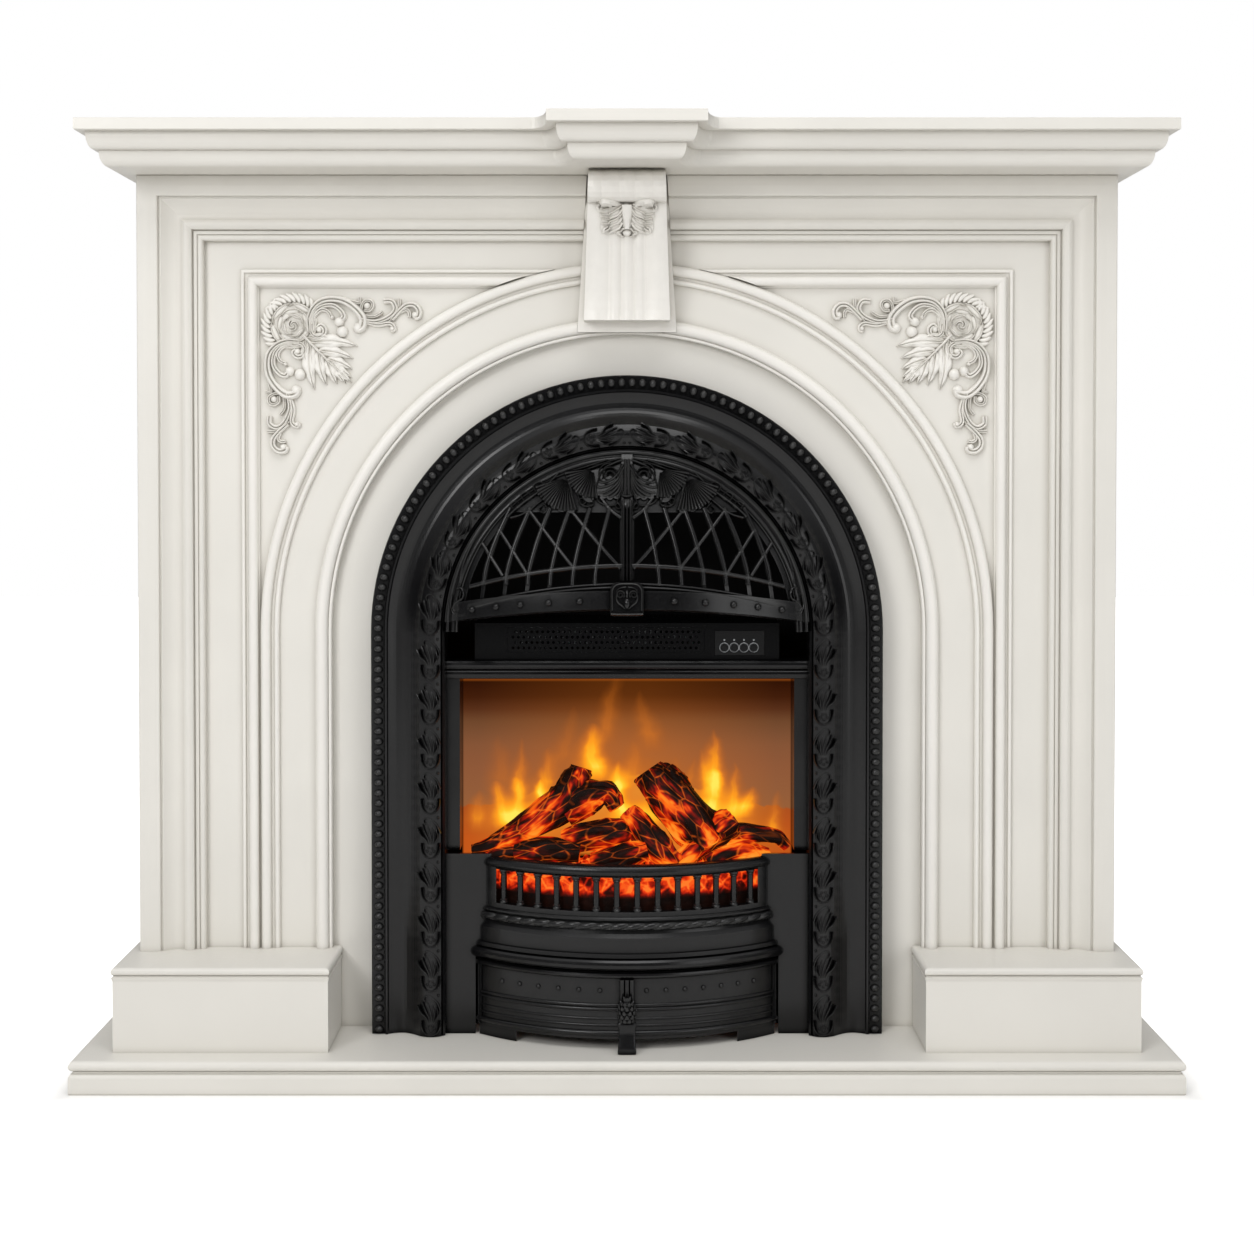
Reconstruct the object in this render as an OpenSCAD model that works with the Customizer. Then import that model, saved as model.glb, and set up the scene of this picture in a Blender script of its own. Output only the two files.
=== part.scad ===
// Electric fireplace with a painted mantel: an arched surround on a stepped hearth, a cast
// arch with hood and basket grate, and an electric fire with a fan heater behind it.
// +Z is up, -Y faces the room, and the origin is on the floor under the middle of the piece.

/* [Overall] */
// Width of the hearth, the widest piece
mantel_w = 1400; // [1300:10:1500]
// Height from the floor to the top of the shelf
mantel_h = 1224; // [1200:4:1300]
// Depth of the hearth from the wall
hearth_d = 330; // [320:5:400]
// Gap left between pieces that seat on each other
seat = 0.3; // [0.2:0.05:0.4]

/* [Hearth and plinths] */
// Thickness of the lower hearth slab
hearth_base_h = 26; // [20:1:40]
// Thickness of the upper hearth slab
hearth_top_h = 16; // [12:1:24]
// Height of a plinth with its cap
plinth_h = 108; // [90:2:130]
// Thickness of the plinth cap
plinth_cap_h = 17; // [14:1:24]
// Distance that a plinth reaches into the arched opening
plinth_reach = 12; // [4:1:20]
// Reach of the hearth beyond the side of the body
hearth_side = 60; // [50:2:80]
// Distance from the wall to the plinth front
plinth_d = 291; // [270:1:310]
// Overhang of the plinth beyond the side of the body
plinth_side = 16; // [12:1:24]

/* [Body] */
// Distance from the wall to the face panel
body_d = 176; // [170:1:200]
// Thickness of the face panel
face_t = 9; // [6:0.5:14]
// Thickness of the backing board
backing_t = 12; // [9:1:18]
// Thickness of a side panel
side_t = 18; // [12:1:22]
// Height of the wall batten
batten_h = 60; // [50:5:90]
// Distance between the two wall screws
screw_pitch = 800; // [600:50:1000]
// Radius of a wall screw hole
screw_r = 3; // [2:0.5:5]

/* [Shelf and crown] */
// Thickness of the shelf slab
shelf_t = 15; // [12:1:24]
// Height of the upper crown moulding
crown_upper_h = 22; // [18:1:30]
// Height of the lower crown moulding
crown_lower_h = 20; // [16:1:28]
// Overhang of the crown base beyond the side of the body
crown_side = 18; // [10:1:24]
// Overhang of the crown base beyond the face panel
crown_front = 95; // [80:1:110]
// Reach of the shelf beyond the crown base
shelf_reach = 35; // [30:1:40]
// Half width of the breakfront at the crown base
break_half = 64; // [60:1:90]
// Projection of the breakfront
break_d = 64; // [50:1:70]
// Width of the hollow return at each side of the breakfront
break_return = 20; // [12:1:30]

/* [Mouldings] */
// Width of the mitred frame moulding
frame_w = 84; // [76:1:92]
// Projection of the frame moulding
frame_t = 25; // [20:1:32]
// Plain border between frame and panel moulding at the sides
border_side = 48; // [44:1:52]
// Plain border between frame and panel moulding at the top
border_top = 37; // [30:1:50]
// Width of the panel moulding
panel_mould_w = 24; // [20:1:25]
// Distance from the soffit to the top of the outer arch moulding
arch_drop = 112; // [106:1:120]
// Width of the moulding on the inner edge of the arch
inner_arch_w = 22; // [18:1:26]
// Plain band between the two arch mouldings
arch_band = 47; // [40:1:54]
// Width of the outer arch moulding
outer_arch_w = 25; // [21:1:27]

/* [Corbel and appliques] */
// Half width of the corbel at its scroll
corbel_top_half = 49; // [44:1:56]
// Half width of the corbel at its foot
corbel_foot_half = 56; // [50:1:62]
// Height of the corbel's foot above the top of the arched opening
corbel_gap = 2; // [0:1:8]
// Projection of the corbel scroll from the face panel
corbel_d = 97; // [84:1:104]
// Radius of the corbel scroll
scroll_r = 21; // [16:1:25]
// Size of a corner applique along each arm
applique_size = 212; // [190:2:216]
// Thickness of a corner applique
applique_t = 10; // [7:1:14]

/* [Cast arch] */
// Width of the recess between the arched opening and the cast arch
recess_w = 55; // [45:1:60]
// Width of the cast arch band
cast_band = 97; // [94:1:100]
// Wall of the cast pieces
cast_t = 6; // [4:0.5:8]
// Projection of the bead row from the backing board
cast_bead_d = 39; // [34:1:44]
// Distance between the beads of the cast arch
bead_pitch = 13.5; // [12:0.5:16]
// Projection of the ornament band from the backing board
cast_roll_d = 54; // [48:1:60]

/* [Hood] */
// Projection of the hood from its rim
hood_d = 62; // [50:1:70]
// Wall of the hood
hood_t = 5; // [4:0.5:7]
// Height of the hood's lower corner above the arch centre
hood_drop = 12; // [6:1:20]
// Rise of the lower edge at the middle of the hood
hood_lift = 22; // [14:1:28]
// Height of the riveted band
hood_band_h = 24; // [20:1:28]
// Number of leaning ribs on each side of the hood
hood_ribs = 6; // [4:1:7]

/* [Basket and ash cover] */
// Distance from the cast arch to the end of the basket rail
plate_w = 50; // [44:1:60]
// Reach of the basket rail in front of the side plates
basket_reach = 70; // [60:1:76]
// Height of the top of the basket rail above the hearth
basket_h = 234; // [224:1:244]
// Height of the basket rail section
rail_h = 15; // [12:1:18]
// Number of bars in the basket
bar_count = 14; // [10:2:16]
// Thickness of a basket bar
bar_d = 8; // [6:0.5:10]
// Height of the apron under the bars
apron_h = 72; // [64:1:76]
// Distance that the apron nose stands out from the rail
nose_out = 12; // [9:1:14]
// Height of the ash cover
cover_h = 86; // [80:1:88]
// Height of the ash cover feet
foot_h = 14; // [10:1:16]
// Height of the side plates
side_plate_h = 237; // [228:1:246]
// Projection of the side plates from the backing board
side_plate_d = 36; // [32:1:40]

/* [Electric fire] */
// Reach of the steel case beyond the inner edge of the cast arch
case_side = 22; // [16:1:40]
// Height of the steel case above the arch centre
case_rise = 261; // [250:1:280]
// Gap between the case and the wall
case_gap = 14; // [10:1:25]
// Sheet thickness of the case and housings
sheet_t = 2; // [1.5:0.25:3]
// Distance from the arch centre down to the lintel
lintel_drop = 64; // [58:1:72]
// Height of the lintel trim
lintel_h = 25; // [20:1:28]
// Height of the heater housing
heater_h = 48; // [44:1:56]
// Gap between the heater housing and the cast arch
heater_side = 37; // [20:1:45]
// Width of the control panel
panel_w = 65; // [60:1:70]
// Depth of the heater housing
heater_d = 112; // [100:1:118]
// Radius of the fan wheel
fan_r = 17; // [13:0.5:19]
// Radius of the fan and rotor shafts
shaft_r = 3; // [2:0.25:4]
// Radial running clearance of a shaft
run_gap = 0.06; // [0.03:0.01:0.09]
// Radius of a control button
button_r = 4.2; // [3.4:0.1:4.6]
// Distance between neighbouring buttons
button_pitch = 12.9; // [12:0.1:14]
// Travel of a button
button_travel = 1; // [0.6:0.1:1.5]
// Distance from the wall to the flame screen
screen_v = 130; // [120:1:135]
// Radius of the tips of the flame rotor
rotor_r = 22; // [16:1:26]

/* [Hidden] */
$fn = 72;

paint = "#E9E6DF";
iron = "#232323";
black = "#161616";
steel = "#8C8F92";

// Depth of the whole piece, from the wall to the front of the breakfront shelf
overall_d = body_d + crown_front + break_d + shelf_reach;
hearth_z = hearth_base_h + hearth_top_h;
plinth_z = hearth_z + plinth_h;
soffit_z = mantel_h - shelf_t - crown_upper_h - crown_lower_h;
body_half = mantel_w / 2 - hearth_side;
// The arch fits between the uprights of the panel moulding, and hangs from the soffit
panel_x = body_half - frame_w - border_side;
arch_edge_r = panel_x - panel_mould_w;
outer_arch_r = arch_edge_r - outer_arch_w;
inner_arch_r = outer_arch_r - arch_band;
arch_r = inner_arch_r - inner_arch_w;
arch_z = soffit_z - arch_drop - arch_edge_r;
corbel_h = soffit_z - arch_z - arch_r - corbel_gap;
plinth_out = body_half + plinth_side;
plinth_in = arch_r - plinth_reach;
board_v = body_d - face_t;
// Overlap that lets a cutter pass right through a face
cut = 1;

// Top of the panel moulding
panel_z = soffit_z - frame_w - border_top;

// Cast arch
cast_r = arch_r - recess_w;
cast_in = cast_r - cast_band;
hood_r = cast_in - seat;
hood_v = board_v + 44;
hood_ball = (hood_r * hood_r + hood_d * hood_d) / (2 * hood_d);
hood_c = hood_v + hood_d - hood_ball;
hood_tilt = atan(hood_lift / hood_d);
hood_skin = 3;

// Side plates and basket
plate_v = board_v + side_plate_d;
plate_t = cast_t;
rail_half = cast_in - plate_w;
rail_r = (rail_half * rail_half + basket_reach * basket_reach) / (2 * basket_reach);
bow_v = plate_v + basket_reach - rail_r;
rail_z = hearth_z + basket_h;
bar_low = rail_z - rail_h - 44;
apron_low = bar_low - apron_h;
nose_r = rail_r + nose_out;
cover_r = nose_r - 5;
cover_low = hearth_z + foot_h;
cover_top = cover_low + cover_h;
plate_in = sqrt(pow(cover_r, 2) - pow(plate_v - bow_v, 2)) + seat;
rail_angle = asin(rail_half / rail_r);
bar_angle = 2 * (rail_angle - 5.74) / (bar_count - 1);

// Electric fire
case_front = board_v - backing_t - seat;
case_back = case_gap;
case_half = cast_in + case_side;
case_top = arch_z + case_rise;
lintel_low = arch_z - lintel_drop;
lintel_top = lintel_low + lintel_h;
heater_low = lintel_top;
heater_top = heater_low + heater_h;
heater_v = board_v + 13;
heater_back = heater_v - heater_d;
fan_v = heater_back + fan_r + sheet_t + 6;
fan_z = heater_low + heater_h / 2;
heater_half = cast_in - heater_side;
fan_len = 2 * heater_half - 202;
fan_x = -20;
grille_low = heater_low + 10;
grille_top = heater_low + 42;
panel_x1 = heater_half - 20;
panel_x0 = panel_x1 - panel_w;
grille_x0 = 43 - heater_half;
grille_x1 = panel_x0 - 14;
panel_low = heater_low + 6;
panel_top = heater_low + 38;
button_x0 = panel_x0 + 12.5;
button_z = panel_low + 10;
button_names_x = [for (i = [0:3]) button_x0 + i * button_pitch];
rotor_v = (case_back + screen_v) / 2 + 6;
rotor_z = hearth_z + 250;
rotor_len = 2 * case_half - 120;
post_in = cast_in - 17;
chamber_floor = bar_low + 38;

// Y of a plane that stands v in front of the wall
function fy(v) = overall_d / 2 - v;

// Points of an arc about a centre
function arc(cx, cy, r, a0, a1, n) =
  [for (i = [0:n]) [cx + r * cos(a0 + (a1 - a0) * i / n), cy + r * sin(a0 + (a1 - a0) * i / n)]];

// Quarter-ellipse edge from reach p0 at height z0 to reach p1 at height z1
function ovolo(p0, z0, p1, z1, n = 7) =
  [for (i = [0:n]) [p0 + (p1 - p0) * sin(90 * i / n), z0 + (z1 - z0) * (1 - cos(90 * i / n))]];

// Half-round edge between two heights, standing out by a quarter of its height
function bullnose(reach, z0, z1, n = 8) =
  [for (i = [0:n]) [reach - (z1 - z0) / 2 * (1 - sin(180 * i / n)), (z0 + z1) / 2 - (z1 - z0) / 2 * cos(180 * i / n)]];

// Solid whose plan corners [x, y, nx, ny] move out by each profile reach at its height.
// The corners run counter-clockwise, and corner i faces corner n - 1 - i across the plan.
// The first face of each end takes the first corners up to this one, and the rest are strips.
module moulded(corners, profile, first = 1) {
  n = len(corners);
  m = len(profile);
  end_faces = concat(
    [concat([for (i = [0:first]) i], [for (i = [n - 1 - first:n - 1]) i])],
    [for (i = [first:n / 2 - 2]) [i, i + 1, n - 2 - i, n - 1 - i]]);
  polyhedron(
    points = [for (s = profile, c = corners) [c[0] + c[2] * s[0], c[1] + c[3] * s[0], s[1]]],
    faces = concat(
      end_faces,
      [for (k = [0:m - 2], i = [0:n - 1])
        [k * n + i, (k + 1) * n + i, (k + 1) * n + (i + 1) % n, k * n + (i + 1) % n]],
      [for (f = end_faces) [for (i = [len(f) - 1:-1:0]) (m - 1) * n + f[i]]]
    )
  );
}

// Space on the outer side of the mitre at the top left corner of a frame
module mitre_space(x, z, side) {
  translate([-x, 0, z]) rotate([0, side > 0 ? 45 : 225, 0])
    translate([-mantel_w, -overall_d, 0]) cube([2 * mantel_w, 2 * overall_d, mantel_w]);
}

// Block between two x, two depths from the wall and two heights
module block(x0, x1, v0, v1, z0, z1) {
  translate([x0, fy(v1), z0]) cube([x1 - x0, v1 - v0, z1 - z0]);
}

// Shape drawn in the front view, from depth v0 to depth v1
module front_shape(v0, v1) {
  translate([0, fy(v0), 0]) rotate([90, 0, 0]) linear_extrude(v1 - v0) children();
}

// Arched outline of one radius, standing on a level
module arched(r, z0) {
  translate([0, arch_z]) circle(r, $fn = 144);
  translate([-r, z0]) square([2 * r, arch_z - z0]);
}

// Band that follows the arch, from a section of radius and projection
module arch_band_solid(v, z0) {
  translate([0, fy(v), arch_z]) rotate([90, 0, 0]) rotate_extrude(angle = 180, $fn = 144) children();
  for (side = [0, 1]) mirror([side, 0, 0])
    translate([0, fy(v), z0]) mirror([0, 1, 0]) linear_extrude(arch_z - z0) children();
}

// Ring section turned about the bow centre and cut off at the side plates
module bow(v0 = plate_v + seat) {
  intersection() {
    translate([0, fy(bow_v), 0]) rotate([0, 0, -150]) rotate_extrude(angle = 120, $fn = 180) children();
    block(-body_half, body_half, v0, overall_d, 0, mantel_h);
  }
}

// Ball surface of the hood, standing out from its own skin by a lift
module hood_ball_solid(lift) {
  translate([0, fy(hood_c), arch_z]) sphere(hood_ball + lift, $fn = 180);
}

// Space above a tilted plane that lies rise above the hood's lower edge
module above_hood_edge(rise) {
  translate([0, fy(hood_v), arch_z + hood_drop + rise]) rotate([-hood_tilt, 0, 0])
    translate([-body_half, -overall_d, 0]) cube([mantel_w, 2 * overall_d, mantel_w]);
}

// Depth of the hood skin at one point of the front view
function hood_skin_v(x, z) = hood_c + sqrt(pow(hood_ball, 2) - x * x - pow(z - arch_z, 2));
// Height of a line that lies rise above the hood's lower edge
function hood_line_z(x, rise, n = 4) =
  n == 0 ? arch_z + hood_drop + rise
  : arch_z + hood_drop + rise + tan(hood_tilt) * (hood_skin_v(x, hood_line_z(x, rise, n - 1)) - hood_v);

module hearth_base() {
  color(paint) moulded(
    hearth_corners,
    concat([[-1, 0], [0, 2], [0, hearth_base_h - 6]],
      ovolo_down(0, hearth_base_h - 6, -4, hearth_base_h)));
}
// Rounded top edge that falls back from reach p0 to p1
function ovolo_down(p0, z0, p1, z1, n = 5) =
  [for (i = [1:n]) [p0 + (p1 - p0) * (1 - cos(90 * i / n)), z0 + (z1 - z0) * sin(90 * i / n)]];
hearth_corners = [
  [-mantel_w / 2, fy(0), -1, 0], [-mantel_w / 2, fy(hearth_d), -1, -1],
  [mantel_w / 2, fy(hearth_d), 1, -1], [mantel_w / 2, fy(0), 1, 0]
];

module hearth_top() {
  color(paint) moulded(
    hearth_corners,
    concat([[-5, hearth_base_h], [-5, hearth_base_h + 2.4]], bullnose(0, hearth_base_h + 3, hearth_z)));
}

// Plan corners of a right-hand plinth: a block with a return along the side of the body
plinth_corners = [
  [plinth_in, fy(board_v + seat), -1, 0], [plinth_in, fy(plinth_d), -1, -1],
  [plinth_out, fy(plinth_d), 1, -1], [plinth_out, fy(0), 1, 0],
  [body_half + seat, fy(0), 0, 0], [body_half + seat, fy(body_d + seat), 0, 0],
  [arch_r - seat, fy(body_d + seat), 0, 0], [arch_r - seat, fy(board_v + seat), 0, 0]
];
module plinth_block() {
  color(paint) moulded(plinth_corners,
    [[-2, hearth_z], [-2, plinth_z - plinth_cap_h]]);
}
module plinth_cap() {
  groove_z = plinth_z - 0.6 * plinth_cap_h;
  color(paint) moulded(plinth_corners, concat(
    [[-2, plinth_z - plinth_cap_h], [-0.5, groove_z - 2.4], [-2.5, groove_z - 1.2], [-2.5, groove_z - 0.4]],
    bullnose(0, groove_z, plinth_z)));
}
module right_plinth_block() plinth_block();
module left_plinth_block() mirror([1, 0, 0]) plinth_block();
module right_plinth_cap() plinth_cap();
module left_plinth_cap() mirror([1, 0, 0]) plinth_cap();

module face_panel() {
  color(paint) front_shape(board_v, body_d) difference() {
    translate([-body_half, hearth_z]) square([2 * body_half, soffit_z - hearth_z]);
    arched(arch_r, hearth_z - cut);
  }
}

// Opening in the backing board behind the cast arch
opening_r = cast_in + 8;
module backing_board() {
  color(paint) front_shape(board_v - backing_t, board_v) difference() {
    translate([-body_half, hearth_z]) square([2 * body_half, soffit_z - hearth_z]);
    arched(opening_r, hearth_z - cut);
  }
}

module side_panel() {
  color(paint) block(body_half - side_t, body_half, 0, board_v - backing_t, hearth_z, soffit_z);
}
module right_side_panel() side_panel();
module left_side_panel() mirror([1, 0, 0]) side_panel();

module wall_batten() {
  color(paint) difference() {
    block(-body_half + side_t, body_half - side_t, 0, side_t, soffit_z - batten_h, soffit_z);
    for (x = [-screw_pitch / 2, screw_pitch / 2])
      translate([x, fy(side_t + cut), soffit_z - batten_h / 2]) rotate([-90, 0, 0])
        cylinder(r = screw_r, h = side_t + 2 * cut, $fn = 32);
  }
}

// Section of the frame moulding: distance in from the outer edge, projection from the panel
frame_profile = let (k = frame_w / 84, t = frame_t / 25) [
  for (p = concat(
    [[0, 0], [0, 23.6], [0.5, 24.6], [1.5, 25], [14, 25.4], [25.5, 25], [26.8, 24.4], [27.5, 23],
      [27.8, 20.2], [29.8, 20.2], [30.2, 21.2], [31, 21.2]],
    [for (i = [1:9]) [31 + 25 * i / 9, 21.2 - 11.4 * sin(112 * i / 9)]],
    [for (i = [0:6]) [57 + 12.6 * i / 6, 13 + 6 * sin(25 + 130 * i / 6)]],
    [[70, 11], [70.4, 9], [71.2, 9], [71.6, 10.6], [75.8, 10.6], [76.2, 9.4]],
    arc(80.1, 8.8, 3.9, 165, -20, 7), [[84, 0]]
  )) [p[0] * k, p[1] * t]
];
// Upright of a frame on the left, mitred at its top
module upright(profile, x, z0, z1) {
  difference() {
    translate([-x, fy(body_d), z0]) mirror([0, 1, 0]) linear_extrude(z1 - z0) polygon(profile);
    mitre_space(x, z1, 1);
  }
}
// Top rail of a frame, mitred at both ends
module top_run(profile, x, z) {
  difference() {
    translate([-x, fy(body_d), z]) mirror([0, 1, 0]) rotate([0, 90, 0]) linear_extrude(2 * x) polygon(profile);
    mitre_space(x, z, -1);
    mirror([1, 0, 0]) mitre_space(x, z, -1);
  }
}
module left_frame_moulding() color(paint) upright(frame_profile, body_half, plinth_z, soffit_z);
module right_frame_moulding() mirror([1, 0, 0]) left_frame_moulding();
module top_frame_moulding() color(paint) difference() {
  top_run(frame_profile, body_half, soffit_z);
  corbel_space();
}

// Section of the panel moulding: a small and a large bead
panel_profile = let (k = panel_mould_w / 24) [
  for (p = concat(
    [[0, 0]], arc(2.7, 3.6, 2.6, 180, 20, 5), [[5.6, 3.2], [9, 3.2], [9.3, 5.2]],
    arc(15.8, 6.4, 6.4, 170, 0, 9), [[22.6, 3.4], [24, 2.8], [24, 0]]
  )) [p[0] * k, p[1]]
];
module left_panel_moulding() color(paint) upright(panel_profile, panel_x, plinth_z, panel_z);
module right_panel_moulding() mirror([1, 0, 0]) left_panel_moulding();
module top_panel_moulding() color(paint) difference() {
  top_run(panel_profile, panel_x, panel_z);
  front_shape(body_d - cut, body_d + frame_t) translate([0, arch_z]) circle(arch_edge_r + seat, $fn = 144);
}

module inner_arch_moulding() {
  k = inner_arch_w / 22;
  color(paint) difference() {
    arch_band_solid(body_d, plinth_z) polygon([for (p = concat(
      [[0, 0], [0, 5.4], [1, 6.4], [3.6, 6.4], [4, 5.2]],
      arc(12.4, 4.6, 8.2, 170, 0, 10), [[21, 3.2], [22, 3.2], [22, 0]]
    )) [arch_r + p[0] * k, p[1]]]);
    corbel_space();
  }
}
module outer_arch_moulding() {
  k = outer_arch_w / 25;
  color(paint) difference() {
    arch_band_solid(body_d, plinth_z) polygon([for (p = concat(
      [[0, 0], [0, 3.4]], arc(3.6, 4.2, 3.2, 180, 20, 5), [[7.6, 3.6], [10.4, 3.6]],
      arc(17.6, 5, 6.8, 172, 0, 9), [[25, 3], [25, 0]]
    )) [outer_arch_r + p[0] * k, p[1]]]);
    corbel_space();
  }
}

// Space that the corbel's back plate takes on the face panel
module corbel_space() {
  front_shape(body_d - cut, body_d + corbel_d + cut) polygon([
    [-corbel_top_half - 3 - seat, soffit_z + cut], [corbel_top_half + 3 + seat, soffit_z + cut],
    [corbel_foot_half + 9 + seat, soffit_z - corbel_h - seat],
    [-corbel_foot_half - 9 - seat, soffit_z - corbel_h - seat]]);
}
// Projection of the corbel face at a height below the soffit, with its scroll at the top
function corbel_face(h) =
  let (w = corbel_d - scroll_r, foot = corbel_h - 14, t = (h - 2 * scroll_r) / (foot - 2 * scroll_r))
  h < 2 * scroll_r ? w + sqrt(max(0, pow(scroll_r, 2) - pow(h - scroll_r, 2)))
  : w - 6 - (w - 50) * pow(sin(90 * min(1, t)), 1.3) + 8 * pow(max(0, t - 0.75) * 4, 2) * 0.25;
// Three reeds and two side bands across the face, at a share s of the half width
function corbel_flute(s) =
  abs(s) < 0.43 ? 3.2 * abs(sin(180 * (s / 0.287 + 0.5))) - 3.2
  : 4.2 * sin(180 * (abs(s) - 0.43) / 0.57) - 3.2;
// Lobes across the scroll, at a share s of the half width
function corbel_lobe(s) =
  abs(s) < 0.16 ? 2 * cos(90 * s / 0.16)
  : abs(s) < 0.64 ? 2.4 * sin(180 * (abs(s) - 0.16) / 0.48) - 1 : 2 * sin(180 * (abs(s) - 0.64) / 0.36) - 1;
module keystone_corbel() {
  nx = 40;
  foot = corbel_h - 14;
  hs = concat([for (i = [0:9]) scroll_r * (1 - cos(180 * i / 9))],
    [for (i = [1:12]) 2 * scroll_r + (foot - 2 * scroll_r) * i / 12]);
  nz = len(hs);
  function half_at(h) = corbel_top_half + (corbel_foot_half - corbel_top_half) * h / foot;
  color(paint) {
    polyhedron(
      points = concat(
        [for (h = hs, i = [0:nx]) let (s = 2 * i / nx - 1) [
          s * half_at(h),
          fy(body_d + seat) - corbel_face(h) - (h < 2 * scroll_r - 0.1 ? corbel_lobe(s) : corbel_flute(s)),
          soffit_z - seat - h]],
        [for (h = hs, i = [0, nx]) [(2 * i / nx - 1) * half_at(h), fy(body_d + 2), soffit_z - seat - h]]
      ),
      faces = let (b = nz * (nx + 1)) concat(
        [for (k = [0:nz - 2], i = [0:nx - 1])
          [k * (nx + 1) + i, k * (nx + 1) + i + 1, (k + 1) * (nx + 1) + i + 1, (k + 1) * (nx + 1) + i]],
        [concat([b], [for (i = [nx / 2:-1:0]) i]), concat([b + 1], [for (i = [nx:-1:nx / 2]) i]),
          [b, b + 1, nx / 2]],
        let (r = (nz - 1) * (nx + 1), c = b + 2 * nz - 2) [
          concat([c], [for (i = [0:nx / 2]) r + i]), concat([c + 1], [for (i = [nx / 2:nx]) r + i]),
          [c + 1, c, r + nx / 2]],
        [for (k = [0:nz - 2]) [k * (nx + 1), (k + 1) * (nx + 1), b + 2 * (k + 1), b + 2 * k]],
        [for (k = [0:nz - 2]) [(k + 1) * (nx + 1) + nx, k * (nx + 1) + nx, b + 2 * k + 1, b + 2 * k + 3]],
        [for (k = [0:nz - 2]) [b + 2 * k, b + 2 * k + 2, b + 2 * k + 3, b + 2 * k + 1]]
      )
    );
    front_shape(body_d, body_d + 14) polygon([
      [-corbel_top_half - 3, soffit_z - seat], [corbel_top_half + 3, soffit_z - seat],
      [corbel_foot_half + 9, soffit_z - corbel_h], [-corbel_foot_half - 9, soffit_z - corbel_h]]);
  }
}

// Corner applique: a rose in the corner, a scrolled arm along each edge and a leaf between.
// Strokes of one arm as half width at each end and spots from the middle of the rose.
arm_strokes = [
  [2.4, 5.5, [21, -8], [20, 8], [25, 22], [36, 32], [51, 35], [67, 32], [82, 22], [91, 10], [90, -1], [84, -4]],
  [2.2, 3.2, [23, 2], [26, 14], [35, 24], [50, 27], [61, 21], [66, 12], [60, 6]],
  [2.8, 1.8, [24, -2], [27, 13], [37, 21], [46, 18], [50, 10]],
  [2.2, 3.4, [22, 0], [24, -10], [31, -15], [39, -12], [41, -5], [36, 0], [32, -4]],
  [2.2, 1.6, [67, 34], [80, 31], [87, 30], [87, 37]],
  [2, 2, [88, 16], [90, 27], [95, 33], [102, 32], [104, 26], [100, 20], [93, 20]],
  [2.2, 1.8, [87, 17], [94, 13], [107, 12], [117, 18]],
  [2.6, 3, [88, 8], [107, 5], [121, 9], [131, 16], [134, 24], [129, 32], [119, 32]],
  [2.2, 2, [125, 7], [136, 16], [139, 26], [139, 35]],
  [2.6, 4, [129, 8], [139, 19], [149, 27], [159, 27], [165, 20], [164, 12], [160, 12]],
  [2, 2, [141, 18], [149, 21], [153, 16], [152, 11]],
  [2.6, 2.8, [92, 6], [110, 1], [125, 3], [131, 0], [132, -5], [128, -6]]
];
// Balls of one arm as place and radius
arm_balls = [[60, 5, 7], [64, -8, 7.5], [97, 26, 4.8], [34, -5, 5], [85, -4, 7]];
// Outline of the half of the leaf on one side of its midrib, and leaflets round the rose as angles
leaf_edge = [[12, -12], [36, -17], [59, -21], [74, -17], [87, -25], [75, -32], [76, -38], [68, -41], [76, -50], [75, -58],
  [77, -69], [72, -72]];
leaflets = [52, 70, 88, 106, 124, 142, 160, 178, 196, 214, 232];
// Veins of the leaf as half width at the root, root and tip
leaf_veins = [[2.6, [18, -15], [54, -20]], [3, [28, -25], [80, -26]], [3, [40, -37], [73, -40]],
  [3, [50, -48], [73, -56]], [3, [58, -56], [74, -68]]];
applique_k = applique_size / 212;
rose_in = 45;
// Strokes of the arm that stand out most
arm_main = [0, 1, 7, 9];
// Plan of the strokes on both sides of the leaf, at a share of their width
module applique_plan(picks, share) {
  k = applique_k;
  for (side = [0, 1]) mirror(side * [1, 1, 0]) for (i = picks)
    let (a = arm_strokes[i], s = [for (j = [2:len(a) - 1]) k * a[j]])
      polygon(stroke(curve(s), share * k * a[0], share * k * a[1]));
}
module applique_leaf() {
  k = applique_k;
  for (side = [0, 1]) mirror(side * [1, 1, 0]) polygon(k * leaf_edge);
  for (a = leaflets) rotate(a) polygon(k * [[28, -2.4], [35, -4.2], [40, -3], [43, 0], [40, 3], [35, 4.2], [28, 2.4]]);
}
module applique_veins() {
  k = applique_k;
  for (side = [0, 1]) mirror(side * [1, 1, 0]) for (v = leaf_veins) polygon(stroke(k * [v[1], v[2]], k * v[0], k));
  rotate(-45) polygon(k * [[18, -2.4], [18, 2.4], [96, 1], [96, -1]]);
}
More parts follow.
